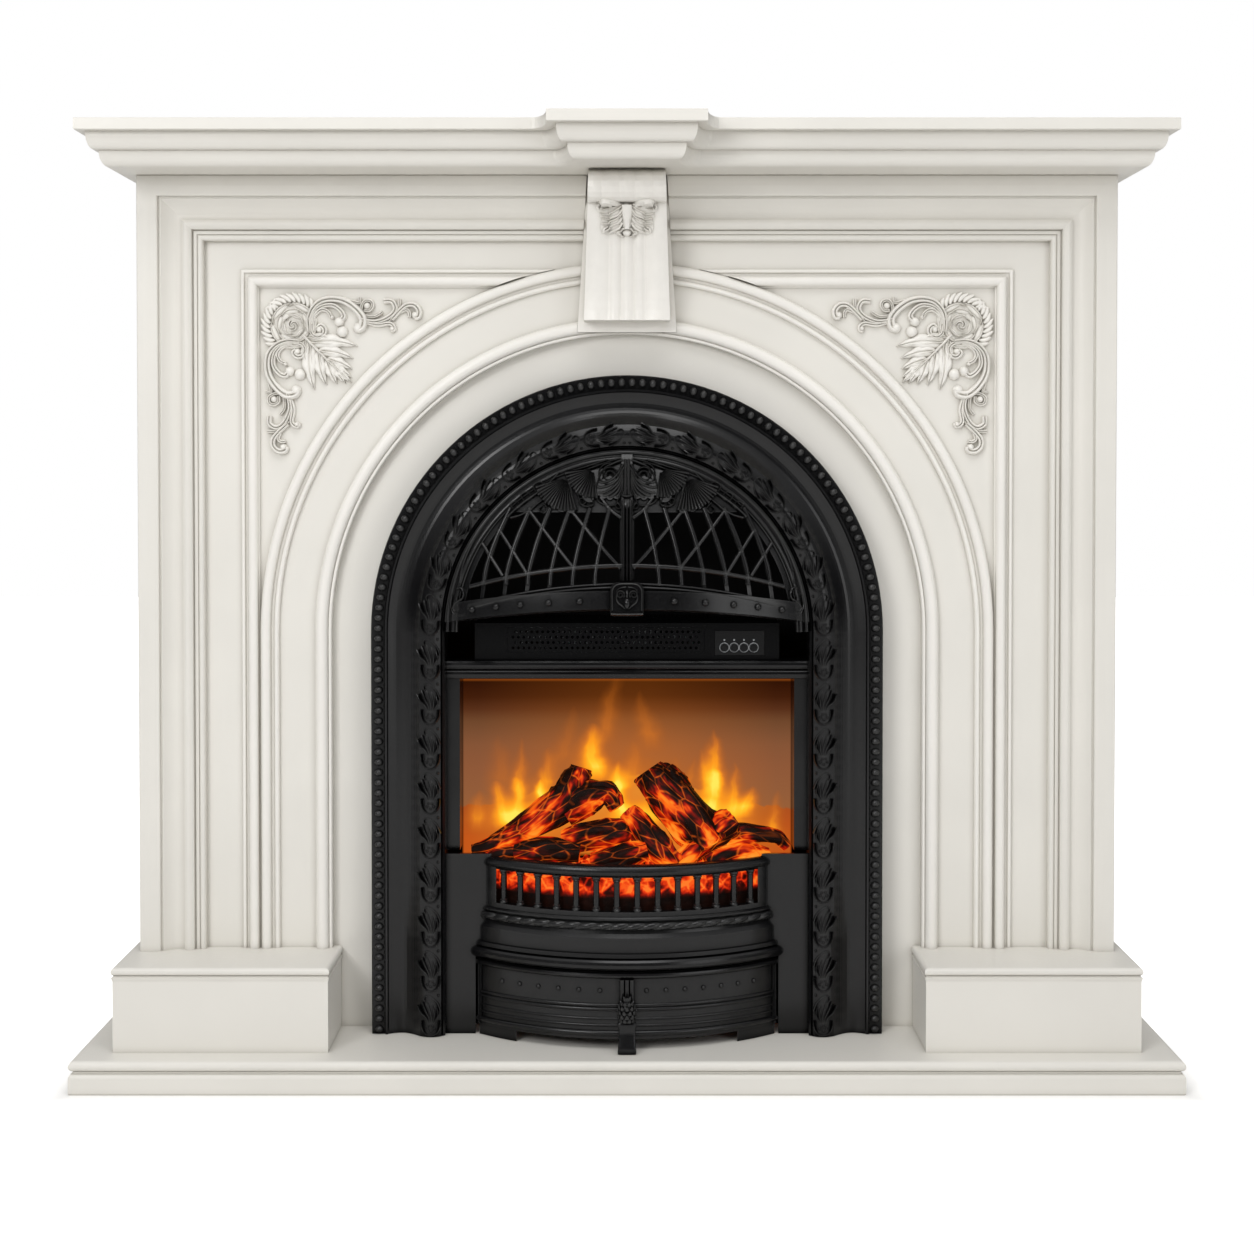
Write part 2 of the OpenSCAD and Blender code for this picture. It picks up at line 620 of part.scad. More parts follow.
module corner_applique() {
  t = applique_t;
  k = applique_k;
  picks = [for (i = [0:len(arm_strokes) - 1]) i];
  color(paint) translate([k * rose_in, -k * rose_in, 0]) {
    linear_extrude(0.45 * t) offset(delta = 0.01) {
      applique_plan(picks, 1);
      applique_leaf();
    }
    translate([0, 0, 0.25 * t]) linear_extrude(0.4 * t) offset(delta = 0.01) {
      applique_plan([2, 3, 5, 6, 10, 11], 0.55);
      applique_veins();
    }
    translate([0, 0, 0.35 * t]) linear_extrude(0.5 * t) offset(delta = 0.01) applique_plan(arm_main, 0.4);
    for (side = [0, 1]) mirror(side * [1, 1, 0]) for (b = arm_balls)
      translate([k * b[0], k * b[1], 0.1 * t]) rotate_extrude($fn = 24) polygon([
        [0, 0], [k * b[2], 0], [k * b[2], 0.2 * t], [0.8 * k * b[2], 0.55 * t], [0.45 * k * b[2], 0.78 * t],
        [0, 0.82 * t]]);
    translate([0, 0, 0.05 * t]) rotate_extrude($fn = 40) polygon([
      [0, 0], [32 * k, 0], [32 * k, 0.25 * t], [29 * k, 0.55 * t], [24 * k, 0.4 * t], [21 * k, 0.75 * t],
      [16 * k, 0.45 * t], [13 * k, 0.9 * t], [8 * k, 0.55 * t], [5 * k, 0.95 * t], [0, 0.95 * t]]);
  }
}
module left_corner_applique()
  translate([-panel_x + panel_mould_w + 2, fy(body_d + seat), panel_z - panel_mould_w - 8])
    rotate([90, 0, 0]) corner_applique();
module right_corner_applique() mirror([1, 0, 0]) left_corner_applique();

// Plan corners of the crown base, with hollow returns beside the breakfront
crown_x = body_half + crown_side;
crown_v = body_d + crown_front;
break_right = concat(
  [for (i = [0:8]) let (a = 90 * i / 8)
    [break_half + break_return * (1 - sin(a)), fy(crown_v + break_d * (1 - cos(a))), 1, -1]]);
crown_corners = concat(
  [[-crown_x, fy(0), -1, 0], [-crown_x, fy(crown_v), -1, -1]],
  [for (c = break_right) [-c[0], c[1], -1, -1]],
  [for (i = [len(break_right) - 1:-1:0]) break_right[i]],
  [[crown_x, fy(crown_v), 1, -1], [crown_x, fy(0), 1, 0]]
);
lower_reach = 9.5;
upper_in = 15;
upper_reach = 23;
module crown_lower() {
  color(paint) moulded(crown_corners, concat(
    ovolo(0, soffit_z, lower_reach, soffit_z + crown_lower_h - 2),
    [[lower_reach, soffit_z + crown_lower_h]]), 2);
}
module crown_upper() {
  z = soffit_z + crown_lower_h;
  color(paint) moulded(crown_corners, concat(
    ovolo(upper_in, z, upper_reach, z + crown_upper_h - 2), [[upper_reach, z + crown_upper_h]]), 2);
}
module shelf_top() {
  z = mantel_h - shelf_t;
  color(paint) moulded(crown_corners,
    [[shelf_reach - 0.8, z], [shelf_reach, z + 0.8], [shelf_reach, mantel_h - 0.8], [shelf_reach - 0.8, mantel_h]],
    2);
}

// Section of the cast arch, front face first, then the hollow back
cast_front = let (k = cast_band / 97) [for (p = concat(
  [[335, cast_bead_d - 3], [333.5, cast_bead_d - 1.5], [317.5, cast_bead_d - 1.5],
    [316.5, cast_bead_d + 1.5], [314, cast_bead_d + 1.5], [312.5, cast_bead_d - 1]],
  [for (i = [1:11]) let (t = i / 12) [312.5 - 40 * t, cast_bead_d - 1 + 9 * t - 9.5 * sin(180 * t)]],
  [[272, cast_roll_d - 6.5], [270.5, cast_roll_d - 5]],
  [for (i = [0:8]) [269.5 - 26.5 * i / 8, cast_roll_d - 6 + 6 * sin(15 + 150 * i / 8)]],
  [[242, cast_roll_d - 7], [240.5, cast_roll_d - 6], [238, cast_roll_d - 9]]
)) [cast_r - (335 - p[0]) * k, p[1]]];
cast_back = [for (i = [len(cast_front) - 1:-1:0]) let (p = cast_front[i])
  if (p[0] > cast_in + cast_t + 0.5 && p[0] < cast_r - cast_t - 0.5) [p[0], p[1] - cast_t]];
cast_section = concat(
  [[cast_r, 0]], cast_front,
  [[cast_in, 0], [cast_in + cast_t, 0], [cast_in + cast_t, cast_back[0][1]]], cast_back,
  [[cast_r - cast_t, cast_back[len(cast_back) - 1][1]], [cast_r - cast_t, 0]]);
// Row of beads along the outer ledge, spaced evenly up one leg, over the arch and down the other
bead_r = cast_r - 9.8;
bead_leg = arch_z - hearth_z;
bead_run = 2 * bead_leg + PI * bead_r;
bead_count = round(bead_run / bead_pitch);
function bead_place(s) = s < bead_leg ? [-bead_r, hearth_z + s]
  : s > bead_run - bead_leg ? [bead_r, hearth_z + bead_run - s]
  : let (a = 180 - (s - bead_leg) / bead_r * 180 / PI) [bead_r * cos(a), arch_z + bead_r * sin(a)];
module cast_arch() {
  color(iron) {
    arch_band_solid(board_v, hearth_z) polygon(cast_section);
    for (i = [0:bead_count - 1]) let (b = bead_place((i + 0.5) * bead_run / bead_count))
      translate([b[0], fy(board_v + cast_bead_d - 2.5), b[1]]) rotate([90, 0, 0]) {
        cylinder(r1 = 4.9, r2 = 4.4, h = 3.4, $fn = 16);
        translate([0, 0, 3.4]) cylinder(r1 = 4.4, r2 = 2.2, h = 2, $fn = 16);
      }
  }
}

// Smooth line through the given spots
function curve(s, k = 2) = concat(
  [for (i = [0:len(s) - 2], j = [0:k - 1]) let (
    a = s[max(i - 1, 0)], b = s[i], c = s[i + 1], d = s[min(i + 2, len(s) - 1)], t = j / k)
    0.5 * (2 * b + (c - a) * t + (2 * a - 5 * b + 4 * c - d) * t * t + (3 * b - a - 3 * c + d) * t * t * t)],
  [s[len(s) - 1]]);
// Outline of a stroke along a line, with its half widths at the first and the last spot and blunt round ends
function stroke(s, w0, w1) =
  let (
    n = len(s) - 1,
    d = [for (i = [0:n]) let (a = s[min(i + 1, n)] - s[max(i - 1, 0)]) a / norm(a)],
    w = [for (i = [0:n]) w0 + (w1 - w0) * i / n])
  concat(
    [for (i = [0:n]) s[i] + w[i] * [-d[i][1], d[i][0]]],
    [for (a = [60, 120]) s[n] + w[n] * (cos(a) * [-d[n][1], d[n][0]] + sin(a) * d[n])],
    [for (i = [n:-1:0]) s[i] - w[i] * [-d[i][1], d[i][0]]],
    [for (a = [240, 300]) s[0] + w[0] * (cos(a) * [-d[0][1], d[0][0]] + sin(a) * d[0])]);

// Openings of the hood in the front view: a window crossed by leaning ribs and a lattice
hood_k = hood_r / 237.7;
hood_x = [for (i = [0:hood_ribs - 1]) (39 + 146 * i / (hood_ribs - 1)) * hood_k];
function rib_top(i) = hood_x[i] - (17 + 3.4 * i) * hood_k;
// Ring of the front view that follows the lower edge of the hood, between two rises above it
module hood_ring(rise0, rise1) {
  sag = 640 * hood_k;
  translate([0, arch_z - sag]) difference() {
    circle(sag + hood_drop + hood_lift + hood_band_h + rise1);
    circle(sag + hood_drop + hood_lift + hood_band_h + rise0);
  }
}
// Braces that cross the ribs: foot on the rail and head, as places from the arch centre
hood_braces = [[8, 86, 71, 158], [68, 86, 126, 158], [128, 78, 166, 134], [160, 75, 188, 116]];
module hood_window() {
  difference() {
    intersection() {
      translate([0, arch_z]) circle(hood_r - 24, $fn = 144);
      hood_ring(8, 154 * hood_k);
      translate([-hood_r, arch_z]) square([2 * hood_r, 157 * hood_k]);
    }
    translate([-9, 0]) square([18, mantel_h]);
    hood_ring(29, 34);
    for (side = [0, 1]) mirror([side, 0]) translate([0, arch_z]) {
      for (i = [0:hood_ribs - 1]) let (x0 = hood_x[i] + 5, x1 = rib_top(i)) polygon(stroke([
        [x0, 30 * hood_k], [x0 - 0.2 * (x0 - x1), 85 * hood_k], [x0 - 0.52 * (x0 - x1), 122 * hood_k],
        [x1, 162 * hood_k]], 2.5, 2.5));
      for (b = hood_braces) polygon(stroke([[b[0], b[1]] * hood_k, [b[2], b[3]] * hood_k], 2, 2));
    }
  }
}
// Outline of the low fans above the windows: centre, radius and the angles that each one spans
hood_fans = [[22, 204, 31, 205, 335], [27, 214, 50, 292, 350], [74, 197, 41, 258, 350]];
module hood_fan_outline() {
  for (side = [0, 1]) mirror([side, 0]) translate([0, arch_z]) for (f = hood_fans)
    let (c = [f[0], f[1]], n = round((f[4] - f[3]) / 18))
      polygon(hood_k * concat([c], [for (k = [0:4 * n]) let (a = f[3] + (f[4] - f[3]) * k / (4 * n))
        c + (f[2] - [3, 0.8, 0, 0.8][k % 4]) * [cos(a), sin(a)]]));
}
module hood_shell() {
  color(iron) {
    difference() {
      intersection() {
        hood_ball_solid(0);
        front_shape(hood_v - hood_t, hood_v + hood_d + cut) translate([0, arch_z]) circle(hood_r, $fn = 144);
        above_hood_edge(0);
      }
      hood_ball_solid(-hood_t);
      front_shape(hood_v - hood_t - cut, hood_v + hood_d + cut) hood_window();
    }
    intersection() {
      difference() {
        front_shape(hood_v - hood_t, hood_v + 4) difference() {
          translate([0, arch_z]) circle(hood_r, $fn = 144);
          translate([0, arch_z]) circle(hood_r - 9, $fn = 144);
        }
        hood_ball_solid(-hood_t);
      }
      above_hood_edge(0);
    }
    intersection() {
      difference() {
        hood_ball_solid(hood_skin);
        hood_ball_solid(-hood_t / 2);
      }
      front_shape(hood_v, hood_v + hood_d + 10) {
        translate([-7, arch_z + hood_drop + hood_lift + hood_band_h])
          square([14, hood_r - hood_drop - hood_lift - hood_band_h - 6]);
        intersection() {
          hood_fan_outline();
          translate([0, arch_z]) circle(hood_r - 8, $fn = 144);
        }
      }
    }
  }
}
module hood_band() {
  color(iron) difference() {
    intersection() {
      hood_ball_solid(hood_skin);
      front_shape(hood_v + seat, hood_v + hood_d + 10) translate([0, arch_z]) circle(hood_r - 9 - seat, $fn = 144);
      above_hood_edge(0);
    }
    hood_ball_solid(seat / 2);
    above_hood_edge(hood_band_h);
  }
}
// Places a piece on the outside of the hood skin, with its own +Z along the skin's normal
module on_hood(x, z, lift) {
  v = hood_skin_v(x, z);
  d = [x, -(v - hood_c), z - arch_z];
  translate([0, fy(hood_c), arch_z]) rotate([0, 0, atan2(d[0], -d[1])]) rotate([90 - asin(d[2] / norm(d)), 0, 0])
    translate([0, 0, hood_ball + lift]) children();
}
module hood_crest() {
  z = arch_z + hood_drop + hood_lift + 13;
  color(iron) on_hood(0, z, hood_skin + seat) linear_extrude(8) polygon(concat(
    [[-17, -22], [17, -22], [21, -17], [21, 12]], arc(12, 12, 9, 20, 90, 4), arc(-12, 12, 9, 90, 160, 4),
    [[-21, 12], [-21, -17]]));
}
rivet_xs = [60, 99.5, 136, 167.5, 199];
module hood_rivets() {
  color(iron) for (side = [-1, 1], x = rivet_xs) {
    rx = side * x * hood_k;
    on_hood(rx, hood_line_z(rx, hood_band_h / 2), hood_skin + seat / 2)
      rotate_extrude($fn = 24) polygon(concat([[0, 0]], arc(0, 0, 4.5, 0, 90, 6)));
  }
}

module side_plate() {
  low = cover_top + 3;
  top = hearth_z + side_plate_h;
  color(iron) front_shape(plate_v - plate_t, plate_v) polygon([
    [cast_in - seat, hearth_z], [cast_in - seat, top], [rail_half - 14, top], [rail_half - 14, low],
    [plate_in, low], [plate_in, hearth_z]]);
}
module right_side_plate() side_plate();
module left_side_plate() mirror([1, 0, 0]) side_plate();

module basket_grate() {
  bar_r = rail_r - 8;
  color(iron) {
    bow() polygon(concat(
      [[rail_r - 15, rail_z - rail_h], [rail_r - 3, rail_z - rail_h]],
      arc(rail_r - rail_h / 2, rail_z - rail_h / 2, rail_h / 2, -60, 90, 8), [[rail_r - 15, rail_z]]));
    for (i = [0:bar_count - 1]) {
      a = bar_angle * (i - (bar_count - 1) / 2);
      translate([bar_r * sin(a), fy(bow_v + bar_r * cos(a)), bar_low - 1])
        cylinder(d = bar_d, h = rail_z - rail_h - bar_low + 2, $fn = 24);
    }
    bow() translate([rail_r - 13, bar_low - 6]) square([11, 6]);
    for (side = [0, 1]) mirror([side, 0, 0]) intersection() {
      bow() translate([rail_r - 13, bar_low - 3]) square([11, rail_z - bar_low - 4]);
      block(rail_half - 17, rail_half, 0, overall_d, 0, mantel_h);
    }
  }
}

module basket_apron() {
  z = bar_low - 6 - seat;
  low = apron_low;
  color(iron) bow() polygon([
    [rail_r - 16, z], [rail_r - 1, z], [rail_r + 1, z - 2], [rail_r + 1, z - 4], [rail_r - 1, z - 5],
    [rail_r - 1, z - 6], [rail_r + 2.5, z - 8], [rail_r + 3, z - 12], [rail_r + 2.5, z - 15],
    [rail_r - 0.5, z - 17], [rail_r + 0.5, z - 21], [rail_r + 3.5, z - 26], [rail_r + 3.5, low + 21],
    [rail_r + 6.5, low + 20], [rail_r + 7, low + 15], [rail_r + 5.5, low + 13.5],
    [nose_r - 2.5, low + 12.5], [nose_r - 0.6, low + 10], [nose_r, low + 6.5],
    [nose_r - 1, low + 2.5], [nose_r - 3.5, low], [nose_r - 14, low], [rail_r - 6, low + 8],
    [rail_r - 6, z - 10], [rail_r - 16, z - 6]]);
}

module ash_cover() {
  color(iron) {
    bow() union() {
      translate([cover_r - 9, cover_low]) square([6, cover_h]);
      polygon(concat([[cover_r - 4, cover_top - 9]],
        arc(cover_r - 4, cover_top - 4.5, 4.5, -90, 90, 6)));
      for (h = [0.50, 0.44]) translate([cover_r - 4, cover_low + cover_h * h]) circle(2.6, $fn = 20);
      for (h = [0.30, 0.20]) translate([cover_r - 3.6, cover_low + cover_h * h]) circle(1.8, $fn = 20);
      translate([cover_r - 4, cover_low + 7]) circle(4, $fn = 24);
      translate([cover_r - 4, cover_low]) square([2, 5]);
    }
    for (side = [0, 1]) mirror([side, 0, 0]) {
      intersection() {
        bow() translate([cover_r - 9, hearth_z + seat]) square([6, foot_h + 1]);
        block(rail_half - 45, mantel_w, 0, overall_d, 0, mantel_h);
      }
      intersection() {
        bow() translate([cover_r - 5, cover_low]) square([3.4, cover_h - 4]);
        block(rail_half + 3, mantel_w, 0, overall_d, 0, mantel_h);
      }
    }
  }
}
left_rivet_angles = [for (i = [0:5]) (-6.8 - 5.4 * i) * rail_angle / 40.8];
right_rivet_angles = [for (i = [0:6]) (4.9 + 4.92 * i) * rail_angle / 40.8];
module ash_cover_rivets() {
  color(iron) for (a = concat(left_rivet_angles, right_rivet_angles))
    translate([cover_r * sin(a) - 3 * sin(a), fy(bow_v + (cover_r - 3) * cos(a)), cover_low + cover_h * 0.72])
      rotate([0, 0, a]) difference() {
        sphere(3, $fn = 20);
        translate([-5, -seat, -5]) cube(10);
      }
}
module ash_cover_handle() {
  front_v = bow_v + cover_r + 1;
  tip_v = front_v + 21;
  color(iron) {
    translate([0, fy(front_v + 9.5), cover_low + 26]) rotate_extrude($fn = 32) polygon(concat(
      [[0, 0], [5, 0]], [for (i = [0:8]) [5 + 6 * sin(180 * pow(i / 8, 0.8)), 1 + 28 * i / 8]], [[0, 31]]));
    translate([-12.5, 0, 0]) rotate([90, 0, 90]) linear_extrude(25) polygon([
      [fy(front_v), cover_low + 31], [fy(front_v + 10), cover_low + 32], [fy(front_v + 15), cover_low + 26],
      [fy(tip_v), hearth_z + 6], [fy(tip_v), hearth_z + seat], [fy(tip_v - 7), hearth_z + seat],
      [fy(front_v + 8), cover_low + 16], [fy(front_v), cover_low + 18]]);
    for (x = [-6, 0, 6]) translate([x, fy(front_v + 1), cover_low + 54]) cylinder(r = 2.4, h = 22, $fn = 20);
    block(-9, 9, front_v - 2.4 + seat, front_v + 3, cover_low + 28, cover_low + 78);
  }
}

module firebox_case() {
  color(black) difference() {
    block(-case_half, case_half, case_back, case_front, hearth_z, case_top);
    block(-case_half + sheet_t, case_half - sheet_t, case_back + sheet_t, case_front + cut,
      hearth_z + sheet_t, case_top - sheet_t);
    block(-case_half + 40, case_half - 40, case_back - cut, case_back + sheet_t + cut,
      hearth_z + 60, case_top - 60);
  }
}
module rear_cover() {
  color(steel) difference() {
    block(-case_half + 20, case_half - 20, case_back - seat - sheet_t, case_back - seat, hearth_z + 40,
      case_top - 40);
    for (i = [0:11]) block(-110, 110, 0, case_back, heater_low - 60 + 9 * i, heater_low - 56 + 9 * i);
    block(case_half - 96, case_half - 56, 0, case_back, hearth_z + 86, hearth_z + 110);
  }
}

module heater_housing() {
  color(black) difference() {
    block(-heater_half, heater_half, heater_back, heater_v, heater_low, heater_top);
    block(-heater_half + sheet_t, heater_half - sheet_t, heater_back - cut, heater_v - sheet_t,
      heater_low + sheet_t, heater_top - sheet_t);
    block(grille_x0 - seat, grille_x1 + seat, heater_v - sheet_t - cut, heater_v + cut, grille_low - seat,
      grille_top + seat);
    block(panel_x0 - seat, panel_x1 + seat, heater_v - sheet_t - cut, heater_v + cut, panel_low - seat,
      panel_top + seat);
    translate([-heater_half - cut, fy(fan_v), fan_z]) rotate([0, 90, 0])
      cylinder(r = shaft_r + run_gap, h = sheet_t + 2 * cut, $fn = 32);
  }
}
module outlet_grille() {
  rows = 4;
  pitch = (grille_top - grille_low) / (rows + 0.5);
  cols = floor((grille_x1 - grille_x0 - 8) / pitch);
  color(black) difference() {
    block(grille_x0, grille_x1, heater_v - sheet_t, heater_v, grille_low, grille_top);
    front_shape(heater_v - sheet_t - cut, heater_v + cut)
      for (r = [0:rows - 1], c = [0:cols - 1])
        translate([grille_x0 + 4 + pitch * (c + 0.5 + (r % 2) * 0.5), grille_low + pitch * (r + 0.75)])
          circle(pitch * 0.32, $fn = 4);
  }
}
module control_panel() {
  color(black) difference() {
    block(panel_x0, panel_x1, heater_v - 3, heater_v + 1, panel_low, panel_top);
    for (x = button_names_x) translate([x, fy(heater_v - 4), button_z]) rotate([90, 0, 0])
      cylinder(r = button_r + seat, h = 6, $fn = 32);
    for (x = button_names_x) translate([x, fy(heater_v), button_z + 10]) rotate([90, 0, 0])
      cylinder(r = 1.2, h = 2, $fn = 20);
  }
}
module control_button(i) {
  color("#2E2E2E") translate([button_names_x[i], fy(heater_v - 4), button_z]) rotate([90, 0, 0]) {
    cylinder(r = button_r, h = 5.4 + button_travel, $fn = 32);
    translate([0, 0, -0.5]) cylinder(r = button_r + 1, h = 1.5 - seat, $fn = 32);
  }
}
module power_button() control_button(0);
module flame_button() control_button(1);
module low_heat_button() control_button(2);
module high_heat_button() control_button(3);
module indicator_lenses() {
  color("#C8CDD2") for (x = button_names_x)
    translate([x, fy(heater_v), button_z + 10]) rotate([90, 0, 0]) cylinder(r = 1.1, h = 1.4, $fn = 20);
}

module fan_wheel() {
  blades = 20;
  color(steel) translate([fan_x, fy(fan_v), fan_z]) rotate([0, 90, 0]) {
    for (z = [-fan_len / 2, fan_len / 2 - 2]) translate([0, 0, z]) cylinder(r = fan_r, h = 2, $fn = 40);
    for (i = [0:blades - 1]) rotate([0, 0, 360 * i / blades]) translate([fan_r - 3, 0, 0])
      rotate([0, 0, 30]) cube([5, 1, fan_len - 2], center = true);
    translate([0, 0, -heater_half - fan_x]) cylinder(r = shaft_r, h = heater_half + fan_x + fan_len / 2 + 16,
      $fn = 32);
  }
}
motor_x = fan_x + fan_len / 2 + 6;
module fan_motor() {
  color(steel) difference() {
    union() {
      translate([motor_x, fy(fan_v), fan_z]) rotate([0, 90, 0]) cylinder(r = 15, h = 34, $fn = 40);
      block(motor_x + 4, motor_x + 28, fan_v - 12, fan_v + 12, heater_low + sheet_t + seat, fan_z);
    }
    translate([motor_x - cut, fy(fan_v), fan_z]) rotate([0, 90, 0])
      cylinder(r = shaft_r + run_gap, h = 14, $fn = 32);
  }
}
module heating_element() {
  element_v = heater_v - 34;
  color("#B0A79A") {
    block(grille_x0 + 6, grille_x1 - 6, element_v, element_v + 14, heater_low + sheet_t + seat,
      heater_low + sheet_t + 8);
    for (x = [grille_x0 + 10:7.8:grille_x1 - 14]) block(x, x + 1.6, element_v, element_v + 14,
      heater_low + sheet_t + 6, heater_top - sheet_t - 6);
    block(grille_x0 + 6, grille_x1 - 6, element_v, element_v + 14, heater_top - sheet_t - 7,
      heater_top - sheet_t - 2);
  }
}

module lintel_trim() {
  half = cast_in - seat;
  mid = (lintel_low + lintel_top) / 2;
  v = heater_v;
  color(black) translate([-half, 0, 0]) rotate([90, 0, 90]) linear_extrude(2 * half) polygon(concat(
    [[fy(v - 20), lintel_low]],
    [for (p = arc(0, 0, 1, -90, 90, 6)) [fy(v + 5 + 3 * p[0]), lintel_low + 6.2 + 6.2 * p[1]]],
    [for (p = arc(0, 0, 1, -90, 90, 6)) [fy(v + 8 + 4 * p[0]), mid + 6.2 + 5.9 * p[1]]],
    [[fy(v - 20), lintel_top - seat]]));
}
module corner_post() {
  color(black) {
    block(post_in, cast_in - seat, case_front + seat, board_v + 11, hearth_z + side_plate_h + seat,
      lintel_low - seat);
    block(post_in, post_in + 2, screen_v + 3 + seat, case_front + seat, hearth_z + side_plate_h + seat,
      lintel_low - seat);
  }
}
module right_corner_post() corner_post();
module left_corner_post() mirror([1, 0, 0]) corner_post();

module flame_screen() {
  color("#B8763A", 0.6) block(-case_half + sheet_t + seat, case_half - sheet_t - seat, screen_v, screen_v + 3,
    chamber_floor - 40, heater_low - seat);
}

rotor_strips = 16;
strip_pitch = rotor_len / rotor_strips;
module flame_rotor() {
  color(steel) translate([0, fy(rotor_v), rotor_z]) rotate([0, 90, 0]) {
    translate([0, 0, -case_half + sheet_t + seat]) cylinder(r = shaft_r, h = case_half + rotor_len / 2 + 14, $fn = 32);
    for (i = [0:rotor_strips - 1]) rotate([0, 0, 75 * i])
      translate([-rotor_r, -0.5, -rotor_len / 2 + strip_pitch * i + 2]) cube([2 * rotor_r, 1, 0.68 * strip_pitch]);
  }
}
module rotor_motor() {
  x = rotor_len / 2 + 4;
  color(steel) difference() {
    union() {
      translate([x, fy(rotor_v), rotor_z]) rotate([0, 90, 0]) cylinder(r = 17, h = 26, $fn = 40);
      block(x + 24, case_half - sheet_t - seat, rotor_v - 22, rotor_v + 22, rotor_z - 8, rotor_z + 8);
    }
    translate([x - cut, fy(rotor_v), rotor_z]) rotate([0, 90, 0])
      cylinder(r = shaft_r + run_gap, h = 14, $fn = 32);
  }
}
module light_strip() {
  z = rotor_z - rotor_r - 22;
  color("#E8E0C8") {
    block(10 - rotor_len / 2, rotor_len / 2 - 10, case_back + sheet_t + seat, screen_v - seat, z, z + 2);
    for (x = [22 - rotor_len / 2:32:rotor_len / 2 - 22])
      block(x - 3, x + 3, rotor_v - 3, rotor_v + 3, z + 2, z + 4);
  }
}

// Logs: x and height above the ember bed at each end, depth from the screen at each end, radius at each end
logs = [
  [[-150, 13], [-52, 63], 56, 36, 26, 20], [[-62, 45], [-38, 139], 42, 20, 24, 15],
  [[26, 129], [92, 27], 20, 66, 25, 29], [[-30, 17], [66, 45], 84, 56, 24, 20],
  [[112, 13], [140, 71], 66, 46, 22, 15], [[86, 29], [196, 21], 46, 38, 18, 14],
  [[-200, 21], [-110, 29], 30, 46, 14, 18], [[-100, 27], [-6, 31], 60, 70, 20, 18]
];
module log_set() {
  color("#3A1E14") intersection() {
    for (l = logs) {
      spread = rail_half / 188;
      a = [l[0][0] * spread, fy(screen_v + l[2]), chamber_floor + l[0][1]];
      b = [l[1][0] * spread, fy(screen_v + l[3]), chamber_floor + l[1][1]];
      d = b - a;
      translate(a) rotate([0, acos(d[2] / norm(d)), atan2(d[1], d[0])])
        cylinder(r1 = l[4], r2 = l[5], h = norm(d), $fn = 9);
    }
    block(-post_in + seat, post_in - seat, screen_v + 4, overall_d, chamber_floor + seat, mantel_h);
    translate([0, fy(bow_v)]) cylinder(r = rail_r - 16, h = mantel_h, $fn = 144);
  }
}
module ember_bed() {
  color("#E8491C") difference() {
    union() {
      translate([0, 0, bar_low - 4]) linear_extrude(chamber_floor - bar_low + 4) intersection() {
        translate([0, fy(bow_v)]) circle(rail_r - 17, $fn = 144);
        translate([-rail_half + 20, fy(plate_v + basket_reach)])
          square([2 * rail_half - 40, basket_reach + plate_v - screen_v]);
      }
      block(-post_in + seat, post_in - seat, screen_v + 4, plate_v - plate_t - seat, bar_low - 4, chamber_floor);
    }
    block(-post_in, post_in, 0, screen_v + 3 + seat, 0, mantel_h);
  }
}
module mains_inlet() {
  color(black) difference() {
    block(case_half - 96 + seat, case_half - 56 - seat, case_back - seat - sheet_t - 4, case_back + 20,
      hearth_z + 86 + seat, hearth_z + 110 - seat);
    block(case_half - 91, case_half - 61, 0, case_back + 10, hearth_z + 91, hearth_z + 105);
  }
}

hearth_base();
hearth_top();
left_plinth_block();
right_plinth_block();
left_plinth_cap();
right_plinth_cap();
face_panel();
backing_board();
left_side_panel();
right_side_panel();
wall_batten();
left_frame_moulding();
top_frame_moulding();
right_frame_moulding();
left_panel_moulding();
top_panel_moulding();
right_panel_moulding();
outer_arch_moulding();
inner_arch_moulding();
left_corner_applique();
right_corner_applique();
keystone_corbel();
crown_lower();
crown_upper();
shelf_top();
cast_arch();
hood_shell();
hood_band();
hood_crest();
hood_rivets();
left_side_plate();
right_side_plate();
basket_grate();
basket_apron();
ash_cover();
ash_cover_rivets();
ash_cover_handle();
firebox_case();
rear_cover();
heater_housing();
outlet_grille();
control_panel();
power_button();
flame_button();
low_heat_button();
high_heat_button();
indicator_lenses();
fan_wheel();
fan_motor();
heating_element();
lintel_trim();
left_corner_post();
right_corner_post();
flame_screen();
flame_rotor();
rotor_motor();
light_strip();
log_set();
ember_bed();
mains_inlet();
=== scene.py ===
"""Electric fireplace with a painted mantel: its finish and carved detail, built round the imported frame."""
import math
import random

import bmesh
import bpy
from mathutils import Matrix, Vector, noise
from mathutils.bvhtree import BVHTree


